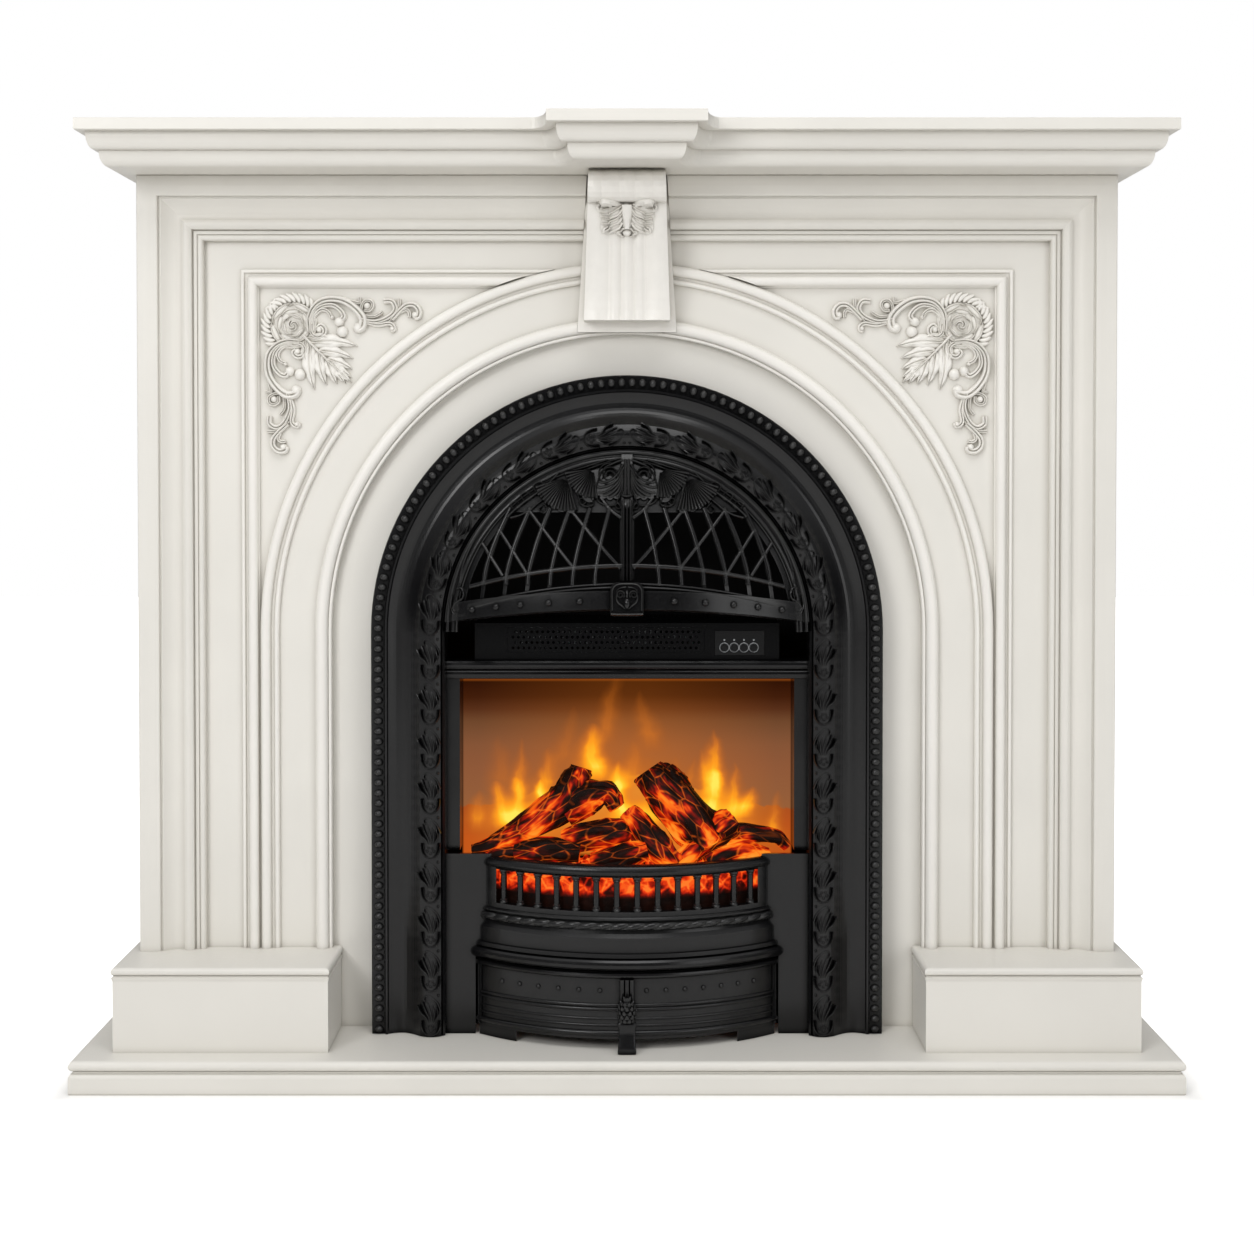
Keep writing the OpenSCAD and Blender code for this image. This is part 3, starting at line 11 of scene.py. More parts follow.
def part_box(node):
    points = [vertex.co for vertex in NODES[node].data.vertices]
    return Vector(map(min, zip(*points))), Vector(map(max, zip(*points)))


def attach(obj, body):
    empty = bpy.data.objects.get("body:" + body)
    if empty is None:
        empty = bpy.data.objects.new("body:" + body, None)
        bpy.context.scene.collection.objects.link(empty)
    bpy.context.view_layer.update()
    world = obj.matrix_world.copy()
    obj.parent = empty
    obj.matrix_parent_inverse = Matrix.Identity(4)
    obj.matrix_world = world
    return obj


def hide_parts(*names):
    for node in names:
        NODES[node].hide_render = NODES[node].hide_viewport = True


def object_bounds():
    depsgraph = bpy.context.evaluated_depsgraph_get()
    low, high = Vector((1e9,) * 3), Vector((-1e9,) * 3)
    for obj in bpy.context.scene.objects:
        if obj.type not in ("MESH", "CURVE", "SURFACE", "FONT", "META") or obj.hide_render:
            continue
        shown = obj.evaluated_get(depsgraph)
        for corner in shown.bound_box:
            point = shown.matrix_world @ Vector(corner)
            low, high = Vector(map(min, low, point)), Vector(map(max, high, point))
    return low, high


bl_info = {
    "name": "Electric Fireplace",
    "version": (1, 0, 0),
    "blender": (4, 5, 0),
    "location": "View3D > Sidebar > Fireplace",
    "description": "Paints, carves and lights an electric fireplace with a mantel",
    "category": "Add Mesh",
}

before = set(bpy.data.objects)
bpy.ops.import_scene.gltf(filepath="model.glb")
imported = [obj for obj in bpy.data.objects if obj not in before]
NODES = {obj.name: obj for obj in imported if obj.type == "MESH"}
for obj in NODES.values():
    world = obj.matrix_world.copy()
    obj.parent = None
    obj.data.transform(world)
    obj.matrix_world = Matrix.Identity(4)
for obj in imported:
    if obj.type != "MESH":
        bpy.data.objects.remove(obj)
CAD_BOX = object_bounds()
MM = 0.001
METRE = 1000
FIXED = "fireplace"


def node_box(name):
    """Lowest and highest corner of a CAD node, in millimetres."""
    low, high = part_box(name)
    return low / MM, high / MM


# Places taken from the frame, in millimetres
FACE_Y = node_box("face_panel")[0].y
ARCH_R = node_box("cast_arch")[1].x
ARCH_Z = node_box("cast_arch")[1].z - ARCH_R
HEARTH_Z = node_box("hearth_top")[1].z
HEARTH_FRONT = node_box("hearth_base")[0].y
BED_Z = node_box("ember_bed")[1].z
# The hood is part of a ball. Its rims and ribs are given for a radius of 237.7 mm and follow it by a scale
HOOD_R = node_box("hood_shell")[1].x
HOOD_WALL = 5.0
HOOD_BULGE = 62.0
HOOD_SCALE = HOOD_R / 237.7
HOOD_SAG = 640 * HOOD_SCALE
HOOD_BALL = (HOOD_R ** 2 + HOOD_BULGE ** 2) / (2 * HOOD_BULGE)
HOOD_Y = node_box("hood_shell")[1].y - HOOD_WALL - HOOD_BULGE + HOOD_BALL
# The basket rail is an arc between the side plates; its half width is the arch's less its band and the plate
ARCH_BAND = 97
PLATE_WIDTH = 50
RAIL_HALF = ARCH_R - ARCH_BAND - PLATE_WIDTH
RAIL_FRONT = node_box("basket_grate")[0].y
RAIL_REACH = node_box("left_side_plate")[0].y - RAIL_FRONT
RAIL_R = (RAIL_HALF ** 2 + RAIL_REACH ** 2) / (2 * RAIL_REACH)
BOW_Y = RAIL_FRONT + RAIL_R
# Carvings are rooted this far below the surface that they stand on, in millimetres
ROOT = -1.0
# Domes are closed at this angle, in degrees, so that their top has no tight ring
DOME_TOP = 82


def linear(hex_colour):
    """Linear RGBA of an sRGB hex colour. Sockets and linear colours come back as they are."""
    if not isinstance(hex_colour, str):
        return hex_colour
    parts = [int(hex_colour[i:i + 2], 16) / 255 for i in (1, 3, 5)]
    return tuple(c / 12.92 if c <= 0.04045 else ((c + 0.055) / 1.055) ** 2.4 for c in parts) + (1.0,)


def add_node(tree, kind, settings=None, links=None):
    """Adds a shader node. Settings go to its properties or sockets, and links feed its sockets."""
    node = tree.nodes.new("ShaderNode" + kind)
    for key, value in (settings or {}).items():
        if isinstance(key, str) and hasattr(node, key):
            setattr(node, key, value)
        else:
            node.inputs[key].default_value = value
    for key, source in (links or {}).items():
        tree.links.new(source, node.inputs[key])
    return node


def surface(name, settings):
    """A material of that name with one Principled surface, and its node tree, shader and coordinates."""
    material = bpy.data.materials.new(name)
    material.use_nodes = True
    tree = material.node_tree
    tree.nodes.clear()
    shader = add_node(tree, "BsdfPrincipled", settings)
    add_node(tree, "OutputMaterial", links={"Surface": shader.outputs[0]})
    place = add_node(tree, "TexCoord").outputs["Object"]
    return material, tree, shader, place


def number(tree, operation, *values):
    """Result of a Math node on numbers and sockets."""
    node = add_node(tree, "Math", {"operation": operation})
    for i, value in enumerate(values):
        if isinstance(value, (int, float)):
            node.inputs[i].default_value = value
        else:
            tree.links.new(value, node.inputs[i])
    return node.outputs[0]


def blended(tree, factor, low, high):
    """Mix of two colours, each a hex or linear colour or a socket."""
    node = add_node(tree, "Mix", {"data_type": "RGBA"})
    for i, value in ((0, factor), (6, linear(low)), (7, linear(high))):
        if hasattr(value, "is_linked"):
            tree.links.new(value, node.inputs[i])
        else:
            node.inputs[i].default_value = value
    return node.outputs[2]


def ramp(tree, factor, *stops):
    """Colour that follows the stops, each a position and a hex or linear colour, in order."""
    node = add_node(tree, "ValToRGB", {}, {"Fac": factor})
    while len(node.color_ramp.elements) < len(stops):
        node.color_ramp.elements.new(0.5)
    for element, (position, colour) in zip(node.color_ramp.elements, stops):
        element.position = position
        element.color = linear(colour)
    return node.outputs[0]


def between(tree, factor, low, high, start=0.35, end=0.65):
    """Colour that runs from low to high as the factor runs from start to end."""
    return ramp(tree, factor, (start, low), (end, high))


def spread(tree, factor, low, high, start=0.35, end=0.65):
    """Number that runs from low to high as the factor runs from start to end."""
    return add_node(
        tree, "MapRange", {"From Min": start, "From Max": end, "To Min": low, "To Max": high},
        {"Value": factor}).outputs[0]


def grain(tree, place, size_mm, detail=2.0, stretch=(1, 1, 1)):
    """Noise whose features are about that many millimetres across."""
    scaled = add_node(tree, "Mapping", {"Scale": stretch}, {"Vector": place})
    return add_node(
        tree, "TexNoise", {"Scale": METRE / size_mm, "Detail": detail, "Roughness": 0.55},
        {"Vector": scaled.outputs[0]}).outputs[0]


def cells(tree, place, size_mm):
    """Distance to the edges of irregular cells about that many millimetres across."""
    settings = {"feature": "DISTANCE_TO_EDGE", "Scale": METRE / size_mm}
    return add_node(tree, "TexVoronoi", settings, {"Vector": place}).outputs[0]


def relief(tree, shader, height, depth_mm, strength):
    """Bumps a shader by a height that is a share of that many millimetres."""
    bump = add_node(tree, "Bump", {"Strength": strength, "Distance": depth_mm * MM}, {"Height": height})
    tree.links.new(bump.outputs[0], shader.inputs["Normal"])


def openness(tree, reach, inside=False):
    """How open a point is: 1 on a flat face, less in a hollow, or in a thin part if inside is set."""
    return add_node(
        tree, "AmbientOcclusion", {"samples": 4, "inside": inside, "Distance": reach}).outputs["AO"]


def paint_tone(tree, shader, drift, colour):
    """Colours paint: its tone drifts a little, and painted shade darkens it in hollows and inner corners."""
    look = bpy.context.scene.fireplace_paint
    light = tuple(colour) + (1.0,)
    dark = tuple(c * look.paint_drift for c in colour) + (1.0,)
    # Painted shade: in hollows and inner corners the paint is darkened towards #C2BEB5
    hollow = spread(tree, openness(tree, look.hollow_reach), 1, 0, 0.25, 0.85)
    tone = blended(tree, hollow, between(tree, drift, dark, light), "#C2BEB5")
    tree.links.new(tone, shader.inputs["Base Color"])


def satin_paint_on_mdf(name="satin_paint_on_mdf", colour=None):
    """Primed and sprayed MDF: satin off-white with a faint orange peel and slight tone drift."""
    look = bpy.context.scene.fireplace_paint
    material, tree, shader, place = surface(name, {"Roughness": 0.4, "IOR": 1.5, "Specular IOR Level": 0.4})
    paint_tone(tree, shader, grain(tree, place, 160), colour or look.paint_colour)
    # Orange peel is about 1 mm across and is drawn at 4 mm so that it shows
    peel = grain(tree, place, 4)
    tree.links.new(spread(tree, peel, 0.36, 0.46), shader.inputs["Roughness"])
    relief(tree, shader, peel, 0.06, 0.35)
    return material


def satin_paint_on_resin():
    """Cast resin ornament under the same satin paint, made lighter as a painted highlight, with a finer drift
    of tone.
    """
    look = bpy.context.scene.fireplace_paint
    material, tree, shader, place = surface(
        "satin_paint_on_resin", {"Roughness": 0.38, "IOR": 1.5, "Specular IOR Level": 0.4})
    paint_tone(tree, shader, grain(tree, place, 22, 3.0), look.ornament_highlight_colour)
    relief(tree, shader, grain(tree, place, 3), 0.08, 0.4)
    return material


def stove_black_on_cast_iron():
    """Sand-cast grey iron under stove black: satin, with sand grain, a painted highlight on thin raised
    detail and painted shade on the ground between the carving.
    """
    look = bpy.context.scene.fireplace_iron
    material, tree, shader, place = surface(
        "stove_black_on_cast_iron", {"Roughness": 0.25, "IOR": 1.5, "Specular IOR Level": 0.34})
    dark = tuple(look.iron_colour) + (1.0,)
    light = tuple(c * look.iron_rub for c in look.iron_colour) + (1.0,)
    tone = between(tree, grain(tree, place, 45, 4.0), dark, light)
    # Painted highlight: thin raised detail is painted lighter, towards #2A2A2A
    thin = spread(tree, openness(tree, look.edge_reach, inside=True), 1, 0, 0.1, 0.6)
    tone = blended(tree, thin, tone, "#2A2A2A")
    # Painted shade: the ground between the carving is painted near black and its reflection is taken off
    # through the specular tint
    hollow = spread(tree, openness(tree, 3 * look.edge_reach), 1, 0, 0.45, 0.9)
    tree.links.new(blended(tree, hollow, tone, "#020202"), shader.inputs["Base Color"])
    shine = blended(tree, hollow, "#FFFFFF", "#000000")
    tree.links.new(shine, shader.inputs["Specular Tint"])
    # Sand grain is about 0.5 mm across and is drawn at 2.2 mm so that it shows
    sand = grain(tree, place, 2.2, 4.0)
    tree.links.new(spread(tree, sand, 0.2, 0.27), shader.inputs["Roughness"])
    relief(tree, shader, sand, 0.05, 0.12)
    return material


def grained(name, settings, size_mm, colours, depth_mm, strength, rough=None, bump_mm=None, **layout):
    """A material whose colour and roughness follow one grain, and its relief that grain or its own."""
    material, tree, shader, place = surface(name, settings)
    skin = grain(tree, place, size_mm, **layout)
    tree.links.new(between(tree, skin, *colours), shader.inputs["Base Color"])
    if rough:
        tree.links.new(spread(tree, skin, *rough), shader.inputs["Roughness"])
    relief(tree, shader, grain(tree, place, bump_mm) if bump_mm else skin, depth_mm, strength)
    return material


def gloss_black_enamel():
    """Baked enamel on pressed steel: deep black with long clear reflections."""
    return grained(
        "gloss_black_enamel", {"Roughness": 0.2, "IOR": 1.5, "Specular IOR Level": 0.3},
        60, ("#060607", "#0D0D0E"), 0.03, 0.3, rough=(0.16, 0.26), bump_mm=5)


def powder_coated_steel():
    """Folded steel sheet with a black powder coat: semi-matt, with a fine pebbled skin."""
    # Powder pebbles are about 0.4 mm across and are drawn at 1.8 mm so that they show
    return grained(
        "powder_coated_steel", {"Roughness": 0.45, "IOR": 1.5, "Specular IOR Level": 0.08},
        1.8, ("#060607", "#0C0C0D"), 0.12, 0.5)


def mill_aluminium():
    """Mill-finish aluminium: pale metal with fine lines along the rolling direction."""
    return grained(
        "mill_aluminium", {"Metallic": 1.0, "Roughness": 0.45},
        20, ("#8E9092", "#B4B6B8"), 0.03, 0.3, rough=(0.4, 0.55), detail=3.0, stretch=(0.03, 1, 1))


def moulded_abs():
    """Injection-moulded ABS: black with a faint spark-eroded texture."""
    # Spark erosion is about 0.1 mm across and is drawn at 0.8 mm so that it shows close up
    return grained(
        "moulded_abs", {"Roughness": 0.32, "IOR": 1.53, "Specular IOR Level": 0.2},
        0.8, ("#0A0A0B", "#121213"), 0.05, 0.4)


def clear_polycarbonate():
    """Small moulded light pipes: pale, glossy and slightly milky."""
    return grained(
        "clear_polycarbonate", {"Roughness": 0.15, "IOR": 1.58, "Transmission Weight": 0.3},
        1.5, ("#AEB4B8", "#D9DDDF"), 0.03, 0.2)


def zinc_plated_sheet():
    """Rolled steel with bright zinc: grey metal with soft spangle and rolling lines."""
    material, tree, shader, place = surface("zinc_plated_sheet", {"Metallic": 1.0, "Roughness": 0.35})
    spangle = add_node(tree, "TexVoronoi", {"Scale": METRE / 14}, {"Vector": place}).outputs["Color"]
    rolled = grain(tree, place, 30, 3.0, (1, 1, 0.04))
    tone = between(tree, rolled, "#9A9DA0", "#BFC2C4", 0.3, 0.7)
    tree.links.new(tone, shader.inputs["Base Color"])
    tree.links.new(spread(tree, spangle, 0.28, 0.44, 0.0, 1.0), shader.inputs["Roughness"])
    relief(tree, shader, rolled, 0.05, 0.3)
    return material


def lamp_board_lacquer():
    """Fibreglass board under white solder lacquer: pale, satin, with a faint weave."""
    material, tree, shader, place = surface("lamp_board_lacquer", {"Roughness": 0.4, "IOR": 1.5})
    weave = add_node(tree, "TexChecker", {"Scale": METRE / 1.2}, {"Vector": place}).outputs["Fac"]
    tone = between(tree, weave, "#D9D5C4", "#E6E2D4", 0, 1)
    tree.links.new(tone, shader.inputs["Base Color"])
    relief(tree, shader, weave, 0.05, 0.2)
    return material


def light_up(tree, shader, colour):
    """Makes a surface glow in that colour, as strongly as the fire does."""
    tree.links.new(colour, shader.inputs["Emission Color"])
    shader.inputs["Emission Strength"].default_value = bpy.context.scene.fireplace_fire.glow


def axes(tree, place):
    """Sockets of the three coordinates of a place."""
    return add_node(tree, "SeparateXYZ", {}, {"Vector": place}).outputs


def glowing_log_resin():
    """Moulded bark in resin lit from inside: charred ridges with glowing cracks and red flanks."""
    material, tree, shader, place = surface(
        "glowing_log_resin", {"Roughness": 0.55, "IOR": 1.5, "Specular IOR Level": 0.06})
    # Bark is drawn in the log's own space, squeezed along it so that plates and cracks run lengthwise
    bark = add_node(tree, "Attribute", {"attribute_name": "bark"}).outputs["Vector"]
    plate_noise = {"Scale": METRE / 24, "Detail": 3.0, "Roughness": 0.6}
    plates = add_node(tree, "TexNoise", plate_noise, {"Vector": bark}).outputs[0]
    cracks = cells(tree, bark, 13)
    # The lamps below make the lower side hotter
    low, high = 0.27, 0.4
    plates = number(tree, "ADD", plates, spread(tree, axes(tree, place)["Z"], -0.06, 0.03, low, high))
    colours = ramp(
        tree, plates, (0.0, "#FFC050"), (0.33, "#FF8A20"), (0.375, "#EE4A0A"), (0.415, "#A81806"),
        (0.45, "#640C04"), (0.485, "#2C0603"), (0.53, "#0E0302"), (1.0, "#060201"))
    seam = spread(tree, cracks, 0.85, 0.0, 0.0, 0.055)
    seam = number(tree, "MULTIPLY", seam, spread(tree, plates, 1.0, 0.1, 0.42, 0.54))
    light_up(tree, shader, blended(tree, seam, colours, "#FF6E14"))
    tree.links.new(between(tree, plates, "#1E0602", "#0C0704", 0.42, 0.5), shader.inputs["Base Color"])
    relief(tree, shader, number(tree, "ADD", plates, number(tree, "MULTIPLY", cracks, 0.6)), 5, 0.7)
    return material


def glowing_ember_resin():
    """Moulded embers lit from below: small black crusts with orange seams and hot patches."""
    material, tree, shader, place = surface(
        "glowing_ember_resin", {"Roughness": 0.6, "IOR": 1.5, "Specular IOR Level": 0.06})
    seams = cells(tree, place, 15)
    patches = grain(tree, place, 20, 3.0)
    heat = number(
        tree, "ADD", spread(tree, seams, 0.4, 0.0, 0.0, 0.16), spread(tree, patches, 0.1, 0.85, 0.36, 0.62))
    # The lamps light the bed from its upper edge down
    dark, lit = (BED_Z - 24) * MM, (BED_Z - 14) * MM
    heat = number(tree, "MULTIPLY", heat, spread(tree, axes(tree, place)["Z"], 0.0, 1.0, dark, lit))
    light_up(tree, shader, ramp(
        tree, heat, (0.0, "#050201"), (0.2, "#420A04"), (0.42, "#A01806"), (0.62, "#E0360C"),
        (0.82, "#F85216"), (1.0, "#FF7A28")))
    tree.links.new(between(tree, patches, "#0A0504", "#200A05"), shader.inputs["Base Color"])
    relief(tree, shader, seams, 3, 0.6)
    return material


# Flames on the screen: middle, base, tip, half width and lean in millimetres, and brightness
FLAMES = (
    (-43, 356, 440, 17, -7, 1.15), (-38, 400, 512, 16, 26, 0.34), (-13, 340, 392, 12, 2, 0.95),
    (-7, 318, 366, 8, -5, 0.85), (-2, 296, 352, 34, 0, 0.8), (-115, 316, 366, 9, -3, 1.0),
    (-116, 330, 386, 11, 2, 0.5), (-145, 286, 372, 13, -2, 0.95), (-144, 330, 424, 11, 4, 0.55),
    (-160, 300, 364, 15, -18, 0.95), (-170, 340, 430, 17, -3, 0.26), (-203, 296, 352, 13, 3, 0.55),
    (-104, 344, 412, 13, 1, 0.52), (-92, 372, 468, 15, 22, 0.26), (-88, 300, 356, 22, 6, 0.62),
    (-130, 280, 336, 36, 0, 0.72), (115, 306, 380, 17, 2, 1.2), (117, 344, 436, 12, -1, 0.85),
    (105, 346, 410, 8, -3, 0.45), (92, 296, 352, 20, 6, 0.7), (143, 306, 392, 11, 4, 0.8),
    (158, 318, 356, 10, 9, 0.8), (201, 280, 352, 10, -2, 0.55), (74, 342, 398, 9, -12, 0.42),
    (78, 342, 400, 8, 14, 0.42), (34, 400, 488, 16, -17, 0.34), (4, 346, 418, 18, 5, 0.5),
    (160, 276, 336, 34, 0, 0.5), (30, 300, 360, 26, 0, 0.7))


def flame(tree, x, z, middle, base, tip, half_width, lean, brightness):
    """Brightness of one flame at a place: a soft tongue, widest low down, that leans as it rises."""
    rise = spread(tree, z, 0, 1, base, tip)
    offset = number(tree, "SUBTRACT", x, number(tree, "MULTIPLY_ADD", rise, lean, middle))
    left = number(tree, "SUBTRACT", 1.0, rise)
    half = number(tree, "MULTIPLY", half_width * 3.0, number(tree, "POWER", left, 0.5))
    across = number(tree, "DIVIDE", number(tree, "ABSOLUTE", offset), number(tree, "MAXIMUM", half, 0.01))
    body = number(tree, "POWER", spread(tree, across, 1, 0, 0.1, 1.0), 2.0)
    foot = spread(tree, z, 0, brightness, base - 4, base + 0.3 * (tip - base))
    return number(tree, "MULTIPLY", number(tree, "MULTIPLY", body, foot), number(tree, "POWER", left, 0.7))


def lit_flame_screen():
    """Tinted acrylic screen with the fire picture: brown haze, orange glow like low hills, and flames."""
    glow = bpy.context.scene.fireplace_fire.glow
    material, tree, shader, place = surface("lit_flame_screen", {
        "Base Color": linear("#060201"), "Roughness": 0.35, "IOR": 1.49, "Specular IOR Level": 0.02})
    drift = number(tree, "SUBTRACT", grain(tree, place, 60), 0.5)
    flicker = number(tree, "SUBTRACT", grain(tree, place, 24), 0.5)
    sway = number(tree, "ADD", number(tree, "MULTIPLY", drift, 22), number(tree, "MULTIPLY", flicker, 13))
    true_x, true_z = (number(tree, "MULTIPLY", axes(tree, place)[axis], METRE) for axis in "XZ")
    x = number(tree, "ADD", true_x, sway)
    z = number(tree, "ADD", true_z, number(tree, "MULTIPLY", drift, 16))
    fire = 0.0
    for tongue in FLAMES:
        fire = number(tree, "ADD", flame(tree, x, z, *tongue), fire)
    haze = ramp(
        tree, spread(tree, true_z, 0, 1, 284, 502), (0.0, "#A06437"), (0.3, "#925C39"), (0.45, "#8E5838"),
        (0.514, "#8A5637"), (0.587, "#855436"), (0.661, "#7A4E32"), (0.735, "#6E462B"), (0.809, "#562E18"),
        (0.883, "#401C08"), (0.956, "#341404"), (1.0, "#2A1002"))
    aside = number(tree, "ABSOLUTE", true_x)
    warm = number(
        tree, "MULTIPLY", spread(tree, aside, 1, 0, 30, 200), spread(tree, true_z, 0.62, 0.1, 340, 480))
    haze = blended(tree, warm, haze, "#D8741E")
    # Low hills of orange light, highest in the middle
    crest = number(tree, "MULTIPLY_ADD", aside, -0.2, 371)
    crest = number(tree, "ADD", crest, number(tree, "MULTIPLY", flicker, 26))
    under = spread(tree, number(tree, "SUBTRACT", crest, true_z), 0, 1, -1.0, 1.5)
    hill = blended(tree, spread(tree, aside, 1, 0, 70, 215), "#AE4C17", "#F59A34")
    hill = blended(tree, spread(tree, true_z, 0.6, 0, 286, 330), hill, "#D85A0C")
    haze = blended(tree, number(tree, "MULTIPLY", under, 0.85), haze, hill)
    tongues = ramp(
        tree, fire, (0.0, "#B05A18"), (0.3, "#E07A22"), (0.55, "#FF9C20"), (0.8, "#FFC82E"),
        (1.0, "#FFEA5A"))
    colour = blended(tree, spread(tree, fire, 0, 1, 0.02, 0.5), haze, tongues)
    # A thin bright line is thrown along the top edge of the picture
    edge = spread(tree, true_z, 0, 0.25, 497.5, 500)
    colour = blended(tree, edge, colour, "#D06A20")
    tree.links.new(colour, shader.inputs["Emission Color"])
    # Only the picture between the posts and under the lintel is lit
    inside = number(
        tree, "MULTIPLY", spread(tree, aside, glow, 0, 219, 222), spread(tree, true_z, 1, 0, 503, 506))
    inside = number(tree, "MULTIPLY", inside, spread(tree, true_z, 0, 1, 262, 268))
    tree.links.new(inside, shader.inputs["Emission Strength"])
    return material


def smooth_path(spots, steps):
    """Smooth curve through the spots, with that many steps between two of them."""
    ends = [Vector(spot) for spot in (spots[0], *spots, spots[-1])]
    curve = []
    for a, b, c, d in zip(ends, ends[1:], ends[2:], ends[3:]):
        bend = 2 * a - 5 * b + 4 * c - d
        twist = 3 * b - a - 3 * c + d
        for t in (i / steps for i in range(steps)):
            curve.append(0.5 * (2 * b + (c - a) * t + bend * t ** 2 + twist * t ** 3))
    return curve + [ends[-1]]


def polar(radius, degrees):
    """Spot at that distance and angle from the origin."""
    angle = math.radians(degrees)
    return radius * math.cos(angle), radius * math.sin(angle)


def oval(count, half_x, half_y=None):
    """Corners of an oval round the origin, or of a circle if only one radius is given."""
    half_y = half_x if half_y is None else half_y
    angles = [math.tau * k / count for k in range(count)]
    return [(half_x * math.cos(angle), half_y * math.sin(angle)) for angle in angles]


def add_object(name, data):
    """A new object of that mesh, lamp or camera, in the scene."""
    made = bpy.data.objects.new(name, data)
    bpy.context.scene.collection.objects.link(made)
    return made


def finished_piece(name, mesh, material, body=FIXED, crease=40):
    """A piece of that mesh with smooth faces, creases and material, which rides on a body."""
    for polygon in mesh.polygons:
        polygon.use_smooth = True
    mesh.set_sharp_from_angle(angle=math.radians(crease))
    mesh.materials.append(material)
    piece = add_object(name, mesh)
    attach(piece, body)
    return piece


class Carving:
    """Closed solids of one piece, drawn in millimetres on a surface of its own.

    The place function turns u and v along the surface and h above it into a point of the frame.
    """

    def __init__(self, place):
        self.place = place
        self.points = []
        self.faces = []

    def rings(self, rings, closed=True):
        """Skins closed rings of points: a solid with flat ends, or a loop whose last ring meets the first."""
        start = len(self.points)
        count = len(rings[0])
        for ring in rings:
            self.points.extend(self.place(*spot) for spot in ring)
        for r in range(len(rings) - 1):
            self.band(start + r * count, start + (r + 1) * count, count)
        last = start + (len(rings) - 1) * count
        if closed:
            self.faces.append(tuple(range(start, start + count)))
            self.faces.append(tuple(range(last, last + count)))
        else:
            self.band(last, start, count)

    def band(self, first, second, count):
        """Faces between two rings of points, each given by its first point."""
        self.faces.extend(
            (first + i, first + (i + 1) % count, second + (i + 1) % count, second + i) for i in range(count))

    def strand(self, path, width, height, sides=6, steps=5, shift=None):
        """Half-round ribbon along a path. Its sizes and sideways shift are functions of the share along."""
        line = smooth_path(path, steps)
        rings = []
        for i, spot in enumerate(line):
            t = i / (len(line) - 1)
            ahead = line[min(i + 1, len(line) - 1)] - line[max(i - 1, 0)]
            across = Vector((-ahead.y, ahead.x)).normalized()
            spot = spot.xy + across * (shift(t) if shift else 0)
            across *= width(t) / 2
            ring = []
            for k in range(sides + 1):
                angle = math.pi * k / sides
                side = spot + across * math.cos(angle)
                ring.append((side.x, side.y, height(t) * math.sin(angle)))
            ring.append((spot.x - across.x, spot.y - across.y, ROOT))
            ring.append((spot.x + across.x, spot.y + across.y, ROOT))
            rings.append(ring)
        self.rings(rings)

    def dome(self, u, v, half_u, half_v, height, turn=0.0, around=14, rows=5):
        """Half of an ellipsoid, turned on the surface by an angle."""
        along, across = math.cos(turn), math.sin(turn)
        corners = oval(around, half_u, half_v)
        rings = []
        for row in range(-1, rows):
            lift = math.radians(DOME_TOP) * max(row, 0) / (rows - 1)
            h = ROOT if row < 0 else height * math.sin(lift)
            ring = [(x * math.cos(lift), y * math.cos(lift)) for x, y in corners]
            rings.append([(u + x * along - y * across, v + x * across + y * along, h) for x, y in ring])
        self.rings(rings)

    def patch(self, shape, nu, nv, base=ROOT):
        """Skin of shape(a, b) with a and b from 0 to 1, closed underneath."""
        start = len(self.points)
        grid = [[shape(i / nu, j / nv) for j in range(nv + 1)] for i in range(nu + 1)]
        for row in grid:
            self.points.extend(self.place(*spot) for spot in row)
        w = nv + 1
        for i in range(nu):
            for j in range(nv):
                a = start + i * w + j
                self.faces.append((a, a + 1, a + w + 1, a + w))
        rim = [(0, j) for j in range(nv)] + [(i, nv) for i in range(nu)]
        rim += [(nu, j) for j in range(nv, 0, -1)] + [(i, 0) for i in range(nu, 0, -1)]
        low = len(self.points)
        self.points.extend(self.place(grid[i][j][0], grid[i][j][1], base) for i, j in rim)
        for k, (i, j) in enumerate(rim):
            i2, j2 = rim[(k + 1) % len(rim)]
            self.faces.append((start + i * w + j, start + i2 * w + j2, low + (k + 1) % len(rim), low + k))
        self.faces.append(tuple(range(low, low + len(rim))))

    def leaf(self, root, tip, width, height, lobes=5, bend=0.0):
        """Carved leaf from root to tip with a scalloped edge, a midrib and side ribs."""
        root, tip = Vector(root), Vector(tip)
        along = tip - root
        across = Vector((-along.y, along.x)).normalized()

        def shape(a, b):
            s = 2 * b - 1
            swell = math.sin(math.pi * min(1, 0.08 + 0.92 * a) ** 0.75)
            notch = 1 - 0.22 * abs(math.cos(math.pi * lobes * a)) ** 3 * (0.3 + a)
            half = width / 2 * max(0.08, swell) * notch
            spot = root + along * a + across * (s * half + bend * math.sin(math.pi * a))
            rib = 0.16 * math.cos(math.tau * (lobes * a + 0.8 * abs(s))) * abs(s)
            groove = 0.35 * math.exp(-(s / 0.13) ** 2)
            edge = math.sqrt(max(0, 1 - s * s))
            h = height * (0.35 + 0.65 * edge) * (0.55 + 0.45 * math.sin(math.pi * a) + rib - groove)
            return spot.x, spot.y, max(0.2, h)
        self.patch(shape, 6 * lobes, 14)

    def build(self, name, material, slot, body=FIXED, crease=40):
        """Makes the piece, gives it its material, and puts it on a body. The slot is not used."""
        mesh = bpy.data.meshes.new(name)
        mesh.from_pydata([point * MM for point in self.points], [], self.faces)
        shell = bmesh.new()
        shell.from_mesh(mesh)
        bmesh.ops.recalc_face_normals(shell, faces=shell.faces)
        shell.to_mesh(mesh)
        shell.free()
        return finished_piece(name, mesh, material, body, crease)


def in_space(x, y, z):
    """Place of a carving that is drawn in the frame's own axes."""
    return Vector((x, y, z))


